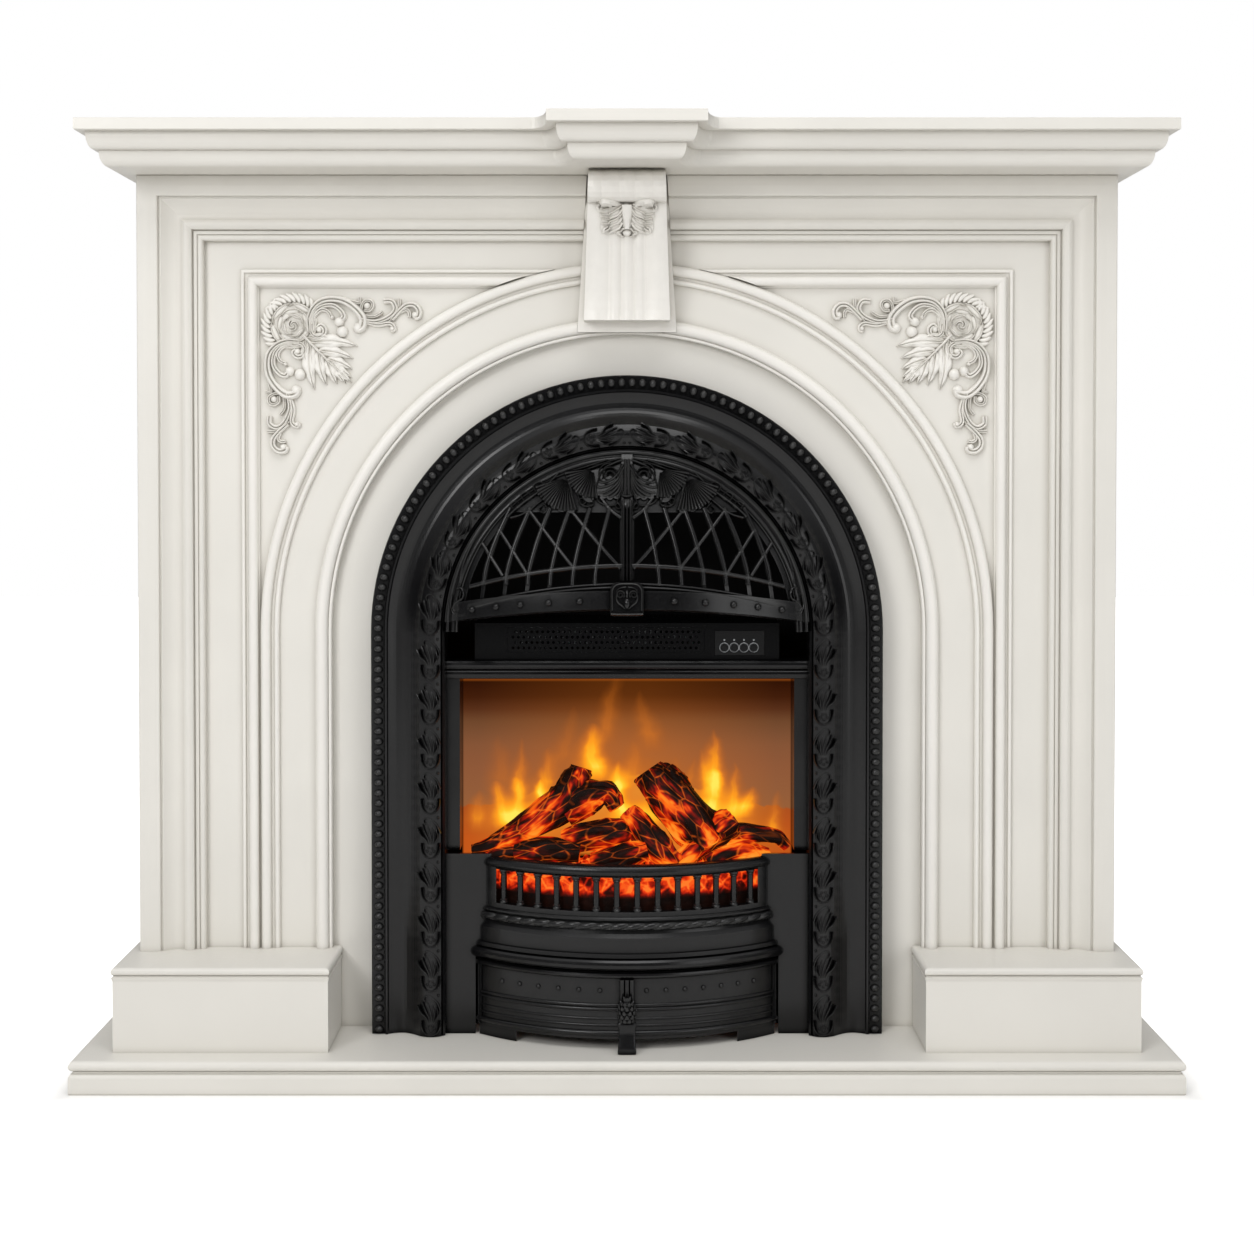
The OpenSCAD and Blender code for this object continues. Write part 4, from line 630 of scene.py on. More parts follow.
def on_arch(radius, front_y):
    """Place on the cast arch: u runs up the left leg, over the arch and down, v outwards from the radius."""
    leg = ARCH_Z - HEARTH_Z

    def place(u, v, h):
        if u < leg:
            return Vector((-(radius + v), front_y - h, HEARTH_Z + u))
        turn = (u - leg) / radius
        if turn < math.pi:
            reach = radius + v
            return Vector((-reach * math.cos(turn), front_y - h, ARCH_Z + reach * math.sin(turn)))
        return Vector((radius + v, front_y - h, ARCH_Z - (u - leg - math.pi * radius)))
    return place, 2 * leg + math.pi * radius


def on_hood(x, z, h):
    """Place on the bulging face of the hood, measured from the arch centre, h along its normal."""
    rise = math.sqrt(HOOD_BALL ** 2 - x * x - z * z)
    outward = Vector((x, -rise, z)) / HOOD_BALL
    return Vector((x, HOOD_Y - rise, ARCH_Z + z)) + outward * h


def on_bow(radius):
    """Place on the bowed front of the basket and the ash cover: u is an angle, v the height, h outwards."""
    def place(angle, z, h):
        return Vector(((radius + h) * math.sin(angle), BOW_Y - (radius + h) * math.cos(angle), z))
    return place


def even(value):
    """Width or height that stays the same along a strand."""
    return lambda t: value


def swelling(value, ends=0.25):
    """Width or height that is largest half way along a strand."""
    return lambda t: value * (ends + (1 - ends) * math.sin(math.pi * t))


def tapering(value, tip=0.2):
    """Width or height that falls from its start to its tip."""
    return lambda t: value * (1 - (1 - tip) * t)


class FireplacePaint(bpy.types.PropertyGroup):
    """Finish of the mantel."""
    paint_colour: bpy.props.FloatVectorProperty(
        name="Paint", description="Colour of the painted boards and mouldings", subtype="COLOR", size=3,
        min=0, max=1, default=linear("#E5E2DB")[:3])
    # Painted highlight: the mouldings are given a lighter copy of the board paint
    moulding_highlight_colour: bpy.props.FloatVectorProperty(
        name="Mouldings", description="Colour of the sprayed arch and panel mouldings", subtype="COLOR",
        size=3, min=0, max=1, default=linear("#F0EDE7")[:3])
    # Painted highlight: the ornament is given a lighter copy of the board paint
    ornament_highlight_colour: bpy.props.FloatVectorProperty(
        name="Ornament", description="Colour of the painted resin ornament", subtype="COLOR", size=3,
        min=0, max=1, default=linear("#F1EEE8")[:3])
    paint_drift: bpy.props.FloatProperty(
        name="Paint Drift", description="How dark the paint's tone drifts", subtype="FACTOR",
        min=0.8, max=1, default=0.965)
    # Reach of the painted shade in the paint's hollows and inner corners
    hollow_reach: bpy.props.FloatProperty(
        name="Hollow Reach", description="How far from an inner corner the paint is duller", unit="LENGTH",
        min=0, max=0.05, default=0.01)


class FireplaceIron(bpy.types.PropertyGroup):
    """Finish and carving of the cast pieces."""
    iron_colour: bpy.props.FloatVectorProperty(
        name="Iron", description="Colour of the stove black", subtype="COLOR", size=3,
        min=0, max=1, default=linear("#0C0C0D")[:3])
    iron_rub: bpy.props.FloatProperty(
        name="Iron Rub", description="How much lighter the rubbed tone is", min=1, max=3, default=1.4)
    # Reach of the painted highlight on thin iron detail; three times it is the reach of the painted shade in
    # the iron's hollows
    edge_reach: bpy.props.FloatProperty(
        name="Edge Reach", description="Thickness below which raised detail is rubbed lighter",
        unit="LENGTH", min=0, max=0.02, default=0.003)
    bead_pitch: bpy.props.FloatProperty(
        name="Bead Pitch", description="Distance between beads round the cast arch", unit="LENGTH",
        min=0.008, max=0.03, default=0.0135)
    flower_pitch: bpy.props.FloatProperty(
        name="Flower Pitch", description="Distance between flowers in the ornament band", unit="LENGTH",
        min=0.04, max=0.09, default=0.0577)


class FireplaceFire(bpy.types.PropertyGroup):
    """The glow of the fire."""
    glow: bpy.props.FloatProperty(
        name="Glow", description="Strength of the embers and flames", min=0, max=4, default=1.0)
    ember_size: bpy.props.FloatProperty(
        name="Ember Size", description="Typical width of an ember", unit="LENGTH",
        min=0.005, max=0.04, default=0.016)
    ember_count: bpy.props.IntProperty(
        name="Embers", description="Number of loose embers", min=0, max=600, default=230)


class FireplaceStudio(bpy.types.PropertyGroup):
    """Camera and lamps."""
    camera_height: bpy.props.FloatProperty(
        name="Camera Height", description="Height of the lens above the floor", unit="LENGTH",
        default=0.7954)
    camera_distance: bpy.props.FloatProperty(
        name="Camera Distance", description="Distance of the lens in front of the hearth", unit="LENGTH",
        default=2.5)
    camera_pitch: bpy.props.FloatProperty(
        name="Camera Pitch", description="Angle of the lens below level", subtype="ANGLE",
        default=math.radians(1.232))
    focal_length: bpy.props.FloatProperty(
        name="Focal Length", description="Focal length in millimetres on a 36 mm sensor", default=57.73)
    frame_shift: bpy.props.FloatProperty(
        name="Frame Shift", description="Shift of the frame, as a share of its width", default=-0.0987)
    lamp_level: bpy.props.FloatProperty(
        name="Lamp Level", description="Share of the plain lamp power", min=0, max=3, default=1.0)


PAINTED = (
    "hearth_base", "hearth_top", "left_plinth_block", "right_plinth_block", "left_plinth_cap",
    "right_plinth_cap", "face_panel", "backing_board", "left_side_panel", "right_side_panel",
    "wall_batten", "left_frame_moulding", "top_frame_moulding", "right_frame_moulding",
    "left_panel_moulding", "top_panel_moulding", "right_panel_moulding", "outer_arch_moulding",
    "inner_arch_moulding", "crown_lower", "crown_upper", "shelf_top")
CAST = (
    "cast_arch", "hood_shell", "hood_band", "hood_crest", "hood_rivets", "left_side_plate",
    "right_side_plate", "basket_grate", "basket_apron", "ash_cover", "ash_cover_rivets", "ash_cover_handle")


def finish_nodes(material, names):
    """Gives CAD nodes one material."""
    for name in names:
        NODES[name].data.materials.clear()
        NODES[name].data.materials.append(material)


class FIREPLACE_OT_mantel(bpy.types.Operator):
    """Paint the boards and mouldings of the mantel"""
    bl_idname = "fireplace.mantel"
    bl_label = "Mantel"

    def execute(self, context):
        finish_nodes(satin_paint_on_mdf(), PAINTED)
        # The arch and panel mouldings get a lighter copy of the same paint, a painted highlight on the raised
        # parts
        mouldings = [name for name in PAINTED if "panel_moulding" in name or "arch_moulding" in name]
        look = context.scene.fireplace_paint
        finish_nodes(satin_paint_on_mdf("satin_paint_mouldings_highlight", look.moulding_highlight_colour), mouldings)
        finish_nodes(
            satin_paint_on_resin(), ("left_corner_applique", "right_corner_applique", "keystone_corbel"))
        return {"FINISHED"}


def mirrored(place):
    """The same place on the other side of the object."""
    def other(*spot):
        point = place(*spot)
        return Vector((-point.x, point.y, point.z))
    return other


def draped(name):
    """Place on the front of a CAD node: u and v are x and z, and h stands out from its skin."""
    node = NODES[name]
    corners = [node.matrix_world @ vert.co for vert in node.data.vertices]
    skin = BVHTree.FromPolygons(corners, [face.vertices for face in node.data.polygons])
    low, high = node_box(name)

    def place(x, z, h):
        hit, normal = skin.ray_cast(Vector((x, low.y - 100, z)) * MM, Vector((0, 1, 0)))[:2]
        if hit is None:
            return Vector((x, high.y - h, z))
        return hit / MM + normal * h
    return place


# Strokes of an arm of the corner ornament, from the middle of the rose: half widths, height and spots
ARM = (
    (2.6, 5.6, 8.0, ((21, -8), (20, 8), (25, 22), (36, 32), (51, 35), (67, 32), (82, 22), (91, 10),
        (90, -1), (84, -4))),
    (2.2, 3.4, 6.4, ((23, 2), (26, 14), (35, 24), (50, 27), (61, 21), (66, 12), (60, 6))),
    (2.8, 1.8, 5.6, ((24, -2), (27, 13), (37, 21), (46, 18), (50, 10))),
    (2.2, 3.6, 7.0, ((22, 0), (24, -10), (31, -15), (39, -12), (41, -5), (36, 0), (32, -4))),
    (2.2, 1.6, 5.0, ((67, 34), (80, 31), (87, 30), (87, 37))),
    (2.0, 2.0, 5.6, ((88, 16), (90, 27), (95, 33), (102, 32), (104, 26), (100, 20), (93, 20))),
    (2.2, 1.8, 5.0, ((87, 17), (94, 13), (107, 12), (117, 18))),
    (2.6, 3.2, 7.0, ((88, 8), (107, 5), (121, 9), (131, 16), (134, 24), (129, 32), (119, 32))),
    (2.2, 2.0, 5.4, ((125, 7), (136, 16), (139, 26), (139, 35))),
    (2.6, 4.2, 7.0, ((129, 8), (139, 19), (149, 27), (159, 27), (165, 20), (164, 12), (160, 12))),
    (2.0, 2.0, 5.2, ((141, 18), (149, 21), (153, 16), (152, 11))),
    (2.6, 2.8, 5.8, ((92, 6), (110, 1), (125, 3), (131, 0), (132, -5), (128, -6))))
BALLS = (
    (60, 5, 6.6), (64, -8, 7.8), (97, 26, 4.8), (34, -5, 5), (85, -3, 7), (160, 14, 5), (130, -4, 3.6),
    (51, 11, 2.6))
# Lobes of the leaf on one side of its midrib: root, tip, width and bend
LEAF_LOBES = (
    ((17, -16), (57, -19), 13, 3), ((22, -22), (84, -27), 21, 4), ((33, -33), (78, -43), 17, 3),
    ((44, -44), (77, -57), 15, 2), ((50, -51), (76, -68), 12, 1))


# Petals of the rose, by rows: number, inner and outer radius, height, and first angle and span in degrees
PETALS = ((5, 22, 30, 6.4, 20, 84), (5, 14.5, 22.5, 7.6, 55, 86), (3, 9.6, 14.5, 9.2, 10, 128))
LEAFLETS = 18
# Middle of the rose, inwards and down from the upper outer corner of the applique's box
ROSE_IN = 41.2
ROSE_DOWN = 39.8


def carve_arm(carving):
    """One scrolled arm with its balls and the lobes of the leaf beside it."""
    for start, end, height, spots in ARM:
        def half(t):
            return start + (end - start) * t
        carving.strand(spots, lambda t: 2.1 * half(t), even(0.5 * height), steps=4)
        # A rounded ridge along each side leaves a groove down the middle, as the carved scrolls have
        for way, share in ((-1, 0.95), (1, 1.1)):
            carving.strand(
                spots, lambda t: 1.15 * half(t) + 0.4, even(share * height), steps=5, sides=8,
                shift=lambda t: way * 0.56 * half(t))
    for u, v, r in BALLS:
        carving.dome(u, v, r, r, 8.4, around=18, rows=6)
    for root, tip, width, bend in LEAF_LOBES:
        carving.leaf(root, tip, width, 6.2, lobes=3, bend=bend)
        middle = tuple((a + b) / 2 for a, b in zip(root, tip))
        carving.strand([root, middle, tip], tapering(3.0, 0.3), tapering(7.4, 0.6), steps=3)


def carve_rose(carving):
    """Rose of petals that overlap round a bud."""
    carving.dome(0, 0, 31, 31, 4.0, around=40, rows=4)
    for count, inner, outer, height, turn, span in PETALS:
        reach = (inner + outer) / 2
        for first in (turn + 360 / count * i for i in range(count)):
            carving.dome(
                *polar(reach, first + span / 2), (outer - inner) * 0.62, reach * math.radians(span) * 0.46,
                0.72 * height, turn=math.radians(first + span / 2), around=20, rows=4)
            rim = [
                polar(outer - 2.5 * (2 * t - 1) ** 4 - 1.2 * t, first + span * t)
                for t in (j / 8 for j in range(9))]
            carving.strand(rim, swelling(3.2, 0.4), swelling(height, 0.75), steps=2)
    carving.dome(0, 0, 8, 8, 7.2, around=20, rows=6)
    for start in (0, 120, 240):
        bud = spiral(0, 0, 7.4, 1.2, start, 0.6, 8)
        carving.strand(bud, swelling(2.4, 0.5), even(9.4), steps=2, sides=5)


def carve_corner(carving, side):
    """One corner ornament: a rose, two scrolled arms, a leaf between them and a fringe of leaflets."""
    low, high = node_box("left_corner_applique")
    rose_x, rose_z = low.x + ROSE_IN, high.z - ROSE_DOWN

    def upright(u, v, h):
        return Vector((side * (rose_x + u), FACE_Y - h, rose_z + v))

    def swapped(u, v, h):
        return upright(-v, -u, h)

    for place in (upright, swapped):
        carving.place = place
        carve_arm(carving)
    carving.place = upright
    carving.strand([(12, -12), (40, -41), (72, -71)], tapering(5.4, 0.4), tapering(8.8, 0.7), steps=4)
    carving.leaf((46, -46), (76, -75), 15, 6.0, lobes=3)
    # Fringe of leaflets, swept back along the rose
    for i in range(LEAFLETS):
        angle = 42 + 11 * i
        sweep = 17 if angle < 135 else -17
        spots = [polar(r, angle + sweep * t) for r, t in ((31, 0), (37, 0.4), (42.5 + (i % 2), 1.0))]
        carving.strand(spots, swelling(7.4, 0.4), even(5.2), steps=4, sides=8)
    carve_rose(carving)


# Ribs of the corbel's leaf on its left half: half width, height, and spots as x and drop from its top
CORBEL_RIBS = (
    (1.7, 3.4, ((-8, 43), (-19, 42), (-31, 41), (-37, 46), (-36, 50))),
    (1.3, 3.6, ((-8, 44), (-17, 53), (-26, 56), (-34.7, 55))),
    (1.3, 3.6, ((-7.6, 46), (-13, 57), (-23.5, 62), (-33, 60.5))),
    (1.3, 3.6, ((-7, 50), (-13.6, 61), (-25, 66.7), (-33, 68))),
    (1.6, 3.6, ((-6.4, 54), (-12, 66), (-21, 72), (-30, 77))),
    (1.6, 3.4, ((-5.6, 58), (-9.4, 69), (-14, 75), (-22, 79))),
    (1.2, 3.2, ((-14, 47), (-22, 47.5), (-33, 50.5))), (1.4, 3.0, ((-26, 71), (-30, 74), (-31, 79))))
CORBEL_EDGE = (
    (-10, 42), (-22, 40.5), (-34, 40), (-39.5, 45), (-38, 52), (-34.6, 54), (-34.6, 60), (-32, 62),
    (-34, 68), (-33.4, 76), (-29, 80.5), (-22, 81), (-14, 79), (-10, 77))


def carve_corbel(carving):
    """Leaf that hangs under the scroll of the keystone corbel."""
    top = node_box("keystone_corbel")[1].z
    skin = draped("keystone_corbel")
    edge = smooth_path(CORBEL_EDGE, 3)

    def left(x, drop, h):
        return skin(x, top - drop, h)

    def right(x, drop, h):
        return skin(-x, top - drop, h)

    for place in (left, right):
        carving.place = place

        def web(a, b):
            rim = edge[round(a * (len(edge) - 1))]
            root = Vector((-4, 43 + 32 * a))
            spot = root + (rim.xy - root) * b
            return spot.x, spot.y, 3.6 * (1 - 0.6 * b ** 3)
        carving.patch(web, len(edge) - 1, 10)
        for half, height, spots in CORBEL_RIBS:
            carving.strand(spots, swelling(2.4 * half, 0.6), even(height + 3.2), steps=4, sides=6)
        carving.strand(
            [(-4, 74), (-10, 77), (-13, 78.5), (-9, 82), (-3, 83.5)], swelling(3.6, 0.5), even(6.4), steps=3)
        carving.strand([(-2, 73), (-6, 77), (-7.5, 80)], tapering(3.4, 0.5), even(7.2), steps=3)
    carving.place = left
    carving.strand([(0, 44), (0, 58), (0, 74)], tapering(12.5, 0.5), even(8), sides=10, steps=6)
    carving.dome(0, 79, 4.5, 4.6, 7.6)


class FIREPLACE_OT_ornament(bpy.types.Operator):
    """Carve the corner ornaments and the leaf of the corbel"""
    bl_idname = "fireplace.ornament"
    bl_label = "Ornament"

    def execute(self, context):
        material = bpy.data.materials["satin_paint_on_resin"]
        for name, side in (("left", 1), ("right", -1)):
            corner = Carving(in_space)
            carve_corner(corner, side)
            piece = corner.build(name + "_corner_ornament", material, "painted_resin")
            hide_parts(name + "_corner_applique")
        leaf = Carving(in_space)
        carve_corbel(leaf)
        leaf.build("corbel_leaf", material, "painted_resin")
        return {"FINISHED"}


class FIREPLACE_OT_castings(bpy.types.Operator):
    """Blacken the cast arch, hood, basket and ash cover"""
    bl_idname = "fireplace.castings"
    bl_label = "Castings"

    def execute(self, context):
        finish_nodes(stove_black_on_cast_iron(), CAST)
        return {"FINISHED"}


# Bead row and ornament band of the arch: how far inside its edge and behind its front, in millimetres
BEADS_IN, BEADS_BACK = 9.8, 16.5
FLOWERS_IN, FLOWERS_BACK = 79, 4.5


def carve_flower(carving, u):
    """One unit of the ornament band: berries in a cup, with a fanned shell above them."""
    for du, dv, r in ((4, 0, 2.7), (7, -4.2, 2.5), (7, 4.2, 2.5), (11, -2, 2.3), (11.5, 2.6, 2.2)):
        carving.dome(u + du, dv, r, r, 6.2, around=10, rows=4)
    # Two crescents, the outer one higher, are the cup. Each is given by its lower half, from its end
    for lower, middle, width, height, sides in (
            (((17, -12.5), (8, -11.5), (0.5, -7)), -2, 2.8, 6.0, 6),
            (((16, -9), (8, -8), (1.5, -4.6)), 0, 1.5, 3.6, 5)):
        cup = [*lower, (middle, 0), *((x, -y) for x, y in reversed(lower))]
        carving.strand(
            [(u + x, y) for x, y in cup], swelling(width, 0.5), even(height), steps=3, sides=sides)
    # The shell's ribs lean to one side as they open, so that each unit looks twisted
    for i, reach in enumerate((35, 41, 44, 42, 37)):
        side = (i - 2) / 2
        rib = (
            (14, side * 2.5), (22, side * 7 - 1), (0.75 * reach, side * 11 + 1.5), (reach, side * 12.5 + 5))
        carving.strand(
            [(u + x, y) for x, y in rib], lambda t: 1.6 + 2.6 * t * (1.25 - t),
            lambda t: 4.2 + 2.4 * math.sin(math.pi * t), steps=3, sides=5)
    hook = ((30, -12.8), (40, -9), (47, -3), (51, 4), (47, 9), (42, 7))
    carving.strand([(u + x, y) for x, y in hook], tapering(2.8, 0.5), even(5.2), steps=3, sides=5)
    carving.dome(u + 43.5, 6.0, 2.5, 2.5, 5.2, around=9, rows=3)
    carving.dome(u + 50.5, -9.5, 2.6, 2.0, 4.0, around=9, rows=3)


class FIREPLACE_OT_arch_ornament(bpy.types.Operator):
    """Carve the bead row and the ornament band of the cast arch"""
    bl_idname = "fireplace.arch_ornament"
    bl_label = "Arch Ornament"

    def execute(self, context):
        iron = context.scene.fireplace_iron
        material = bpy.data.materials["stove_black_on_cast_iron"]
        front = node_box("cast_arch")[0].y
        ledge, length = on_arch(ARCH_R - BEADS_IN, front + BEADS_BACK)
        beads = Carving(ledge)
        count = round(length / (iron.bead_pitch / MM))
        for i in range(count):
            u = (i + 0.5) * length / count
            beads.dome(u, 0, 4.9, 5.9, 5.4, around=12, rows=4)
            beads.dome(u + 0.5 * length / count, -7.7, 1.3, 1.3, 2.2, around=6, rows=3)
        beads.build("arch_beads", material, "cast_iron")

        band, length = on_arch(ARCH_R - FLOWERS_IN, front + FLOWERS_BACK)
        pitch = iron.flower_pitch / MM
        count = int(length / 2 / pitch)
        pitch = length / 2 / count
        flowers = Carving(band)
        for place in (band, mirrored(band)):
            flowers.place = place
            for i in range(count):
                carve_flower(flowers, i * pitch + 4)
        flowers.build("arch_flowers", material, "cast_iron")
        return {"FINISHED"}


def hood_rail(rise, reach):
    """Line that follows the lower edge of the hood, at a rise above its band."""
    top = HOOD_SAG + node_box("hood_band")[1].z - ARCH_Z + rise
    return [(x, math.sqrt(top ** 2 - x * x) - HOOD_SAG) for x in (reach * i / 6 for i in range(-6, 7))]


def spiral(u, v, outer, inner, start, turns, steps=10):
    """Line that winds round a middle, from a start in degrees. Turns may be negative."""
    spots = []
    count = max(3, round(abs(turns) * steps))
    for i in range(count + 1):
        t = i / count
        x, y = polar(outer + (inner - outer) * t, start + 360 * turns * t)
        spots.append((u + x, v + y))
    return spots


# Ribs that pass under the slanting ones in the hood's right half, for a hood of 237.7 mm
HOOD_UNDERS = (
    ((8, 86), (40, 121), (71, 158), (74, 161)), ((68, 86), (99, 124), (126, 158)),
    ((128, 78), (148, 108), (166, 134)), ((160, 75), (175, 97), (188, 116)),
    ((7.5, 150), (21, 160), (34, 176)))
# Fans of the hood: middle, radius, first and last angle, and number of ribs
HOOD_FANS = ((77.5, 200, 42, 254, 343, 15), (43, 211, 36.5, 264, 352, 13))
# Lines of the hood's right half: width and height at the start, share left at the end, and spots
HOOD_LINES = (
    (5, 5.2, 0.9, ((5.5, 217), (11, 206), (20, 198), (30, 194), (36, 195.5))),
    (5, 5.6, 0.9, ((5.5, 211), (11, 200), (20, 192), (31.5, 188), (38, 188.5))),
    (5, 5.4, 0.9, ((5.5, 207), (10.5, 195.5), (19, 187), (29, 181.5), (36, 181))),
    (5, 5.6, 0.9, ((5.5, 203), (9.5, 192.5), (16.5, 184), (24.5, 178.5), (30, 177.5))),
    (5, 5.4, 0.9, ((5.2, 199.5), (8, 190), (12.8, 182), (19, 177), (22.5, 175.5))),
    (4.4, 5.2, 0.9, ((5.2, 196), (6.6, 187.5), (10, 180), (13.6, 176))),
    (3.4, 4.8, 0.9, ((5.2, 192.5), (5.6, 186), (6.8, 180), (8, 178))),
    (4, 5.4, 0.6, ((5.5, 223), (12, 221), (20, 217.5), (28, 213), (34.5, 204), (38, 193), (39, 187))),
    (3.2, 4.6, 0.5, ((9, 225), (20, 222), (36, 216.5), (58, 209), (76, 205.5))),
    (3, 4.4, 0.5, ((26, 223.5), (44, 217.5), (62, 211.5), (80, 207))),
    (3.4, 4.4, 0.6, ((67, 188), (61.5, 174), (58, 166), (50, 164), (43, 167), (47, 176))),
    (3, 4.0, 0.6, ((40, 178), (36, 170), (24, 165), (14, 166))),
    (3.4, 4.2, 0.7, ((9.5, 176), (12.5, 170), (9, 165), (7.6, 160))),
    (4.6, 5.0, 0.5, ((154, 150), (146, 158), (134, 168), (120, 178), (106, 188), (94, 200), (88, 207))),
    (3.6, 4.4, 0.6, ((150, 149), (136, 153), (124, 160), (114, 168), (104, 176))),
    (3.4, 4.6, 0.5, ((146, 160), (150, 166), (143, 170), (138, 165), (142, 162))),
    (3.4, 4.6, 0.5, ((132, 170), (137, 178), (129, 182), (123, 176), (128, 172))),
    (3.4, 4.6, 0.5, ((117, 182), (121, 190), (112, 195), (106, 188), (111, 184))),
    (3.2, 4.4, 0.5, ((108, 168), (102, 161), (107, 155), (113, 160), (109, 164))),
    (3.6, 3.2, 0.9, ((216.5, 64), (214, 84), (206, 106), (193, 131), (178, 152), (168, 164))),
    (3.4, 4.4, 0.5, ((219.5, 57), (214, 58), (211, 51), (213.5, 43), (219, 41), (219.5, 46))),
    (3.4, 4.4, 0.5, ((213, 44), (222, 38), (225, 31), (220, 27), (216.5, 31))),
    (3.0, 4.0, 0.6, ((227, 48), (228.5, 36), (225, 26), (217, 22), (208, 24))))


# Crest of the hood: its middle above the arch centre, and its flat front out from the ball, in millimetres
CREST_RISE = 47
CREST_FRONT = 11.1


class FIREPLACE_OT_hood_detail(bpy.types.Operator):
    """Carve the rims, the rounded ribs, the fans and the scrolls of the hood"""
    bl_idname = "fireplace.hood_detail"
    bl_label = "Hood Detail"

    def execute(self, context):
        material = bpy.data.materials["stove_black_on_cast_iron"]
        k = HOOD_SCALE
        hood = Carving(on_hood)
        # Rims: a roll at the edge, a hollow and a step towards the field
        low_z = hood_rail(-20, 232)[0][1]
        for radius, width, height in ((234.2, 5.6, 3.4), (226.6, 6.4, 2.2), (221.6, 2.4, 2.8)):
            radius *= k
            start = math.degrees(math.asin((low_z + 4) / radius))
            rim = [polar(radius, start + (180 - 2 * start) * i / 40) for i in range(41)]
            hood.strand(rim, even(width), even(height), steps=2)
        # Rails below the windows, and the middle post with three reeds, a collar and a swelling under it
        for rise, reach, width, height in (
                (31.5, 203, 6.4, 3.6), (4.2, 205, 3.6, 3.4), (8.4, 205, 3.4, 3.0)):
            hood.strand(hood_rail(rise, reach), even(width), even(height), sides=8)
        for x in (-4.3, 0, 4.3):
            hood.strand([(x, 70), (x, 130), (x, 171)], even(4.6), even(6.4), sides=8)
        for x in (-2.3, 2.3):
            hood.strand([(x, 176), (x, 200), (x, 223.5)], even(4.6), even(5.4), sides=8)
        collar = [(-6.6, 177.5), (0, 175.6), (6.6, 177.5)]
        hood.strand(collar, swelling(4.6, 0.7), swelling(8.5, 0.6), sides=8)
        hood.dome(0, 167.5, 7.4, 9, 6.2, rows=6)
        for place in (on_hood, mirrored(on_hood)):
            hood.place = place
            for i in range(6):
                foot = (39 + 146 * i / 5) * k + 5
                lean = (22 + 3.4 * i) * k
                rib = ((0.13, 64), (0.2, 85), (0.52, 122), (1, 162))
                hood.strand([(foot - share * lean, z * k) for share, z in rib], even(6.6), even(3.6))
            for spots in HOOD_UNDERS:
                hood.strand([(x * k, z * k) for x, z in spots], even(5.2), even(3.0))
            for u, v, r, first, last, ribs in HOOD_FANS:
                for i in range(ribs):
                    x, y = polar(r * (1 + 0.02 * math.cos(2.1 * i)), first + (last - first) * i / (ribs - 1))
                    wide = 1.12 * r * math.radians(last - first) / (ribs - 1)
                    hood.strand(
                        [(u + s * x, v + s * y) for s in (0.12, 0.4, 0.7, 1.0)],
                        lambda t: wide * (0.2 + 0.8 * t), lambda t: 4.2 + 1.5 * t * (1.6 - t), steps=3)
            for width, height, left, spots in HOOD_LINES:
                hood.strand(spots, tapering(width, left), tapering(height, 0.9), steps=4)
            hood.strand(spiral(22.8, 204, 15, 2.0, 100, -2.4), tapering(2.6, 0.6), even(5.2), steps=3)
            hood.strand(spiral(57.5, 170.5, 5.0, 0.8, 200, 1.6, 8), tapering(2.6, 0.6), even(4.6), steps=3)
            hood.strand(spiral(11, 164.5, 3.6, 3.4, 0, 1.0, 8), even(2.2), even(4.0), steps=3)
        hood.build("hood_carving", material, "cast_iron")

        # Scrolls, a drop and a raised edge on the flat front of the crest
        tilt = math.asin(CREST_RISE / HOOD_BALL)
        out, up = Vector((0, -math.cos(tilt), math.sin(tilt))), Vector((0, math.sin(tilt), math.cos(tilt)))
        centre = on_hood(0, CREST_RISE, CREST_FRONT)

        def on_crest(u, v, h):
            return centre + Vector((u, 0, 0)) + up * v + out * h

        crest = Carving(on_crest)
        for place in (on_crest, mirrored(on_crest)):
            crest.place = place
            for spots, width, height, steps in (
                    (((0, 19), (8, 19), (14.5, 17), (18.4, 11), (18.6, 0), (18.6, -15)), even(2.6), 2.2, 4),
                    (((0, -19.5), (12, -19.5), (20.5, -19.2)), even(3.6), 3.4, 4),
                    (spiral(8.6, 5.5, 5.6, 1.0, 220, -1.8, 9), tapering(2.8, 0.7), 3.2, 3),
                    (((2, -13), (6, -9), (11, -5), (13.5, 1), (12.5, 6)), swelling(3.4, 0.5), 2.8, 3),
                    (((1.5, 15), (6, 14.5), (11, 12.5), (14, 8)), tapering(2.8, 0.5), 2.6, 3)):
                crest.strand(spots, width, even(height), steps=steps)
        crest.place = on_crest
        crest.dome(0, -6, 4.2, 7.5, 3.6)
        crest.dome(0, 6, 2.2, 5.5, 2.6)
        crest.build("crest_carving", material, "cast_iron")
        return {"FINISHED"}


# Rope under the basket's ledge: its turns, and the height and depth of its strands in millimetres
ROPE_TURNS = 20
ROPE_OUT = 1.6
ROPE_LOW, ROPE_HIGH = -17, -5.5
# Bars of the basket: their number, their middle inside the rail, and the room beside the last in degrees
BARS = 14
BARS_IN = 8
BARS_CLEAR = 5.74
COLLAR = ((0, 5.9), (2.2, 5.9), (3.2, 5.0), (4.0, 4.7), (5.0, 5.3), (6.0, 4.2))
# Bud of the ash cover's knob: its place, length and radius in millimetres, and its rows of scales
BUD_RISE, BUD_OUT = 53, 8.5
BUD_FOOT, BUD_LENGTH = -14, 31
BUD_RADIUS = 12.5
SCALE_ROWS, SCALES = 6, 10
# Rings of the tongue, from the bud, and of its toe, from the foot: height, place, half width, thickness
TONGUE = (
    (-8, 6, 7, 6), (-13, 8, 9.5, 7), (-15, 9, 12, 8), (-18, 9.5, 12.4, 8), (-20, 9.5, 10.6, 7),
    (-32, 12, 10.8, 6.5))
TOE = ((10, 15.5, 11.4, 6), (3, 17.5, 12, 5), (0.4, 17.2, 11.6, 4.6))


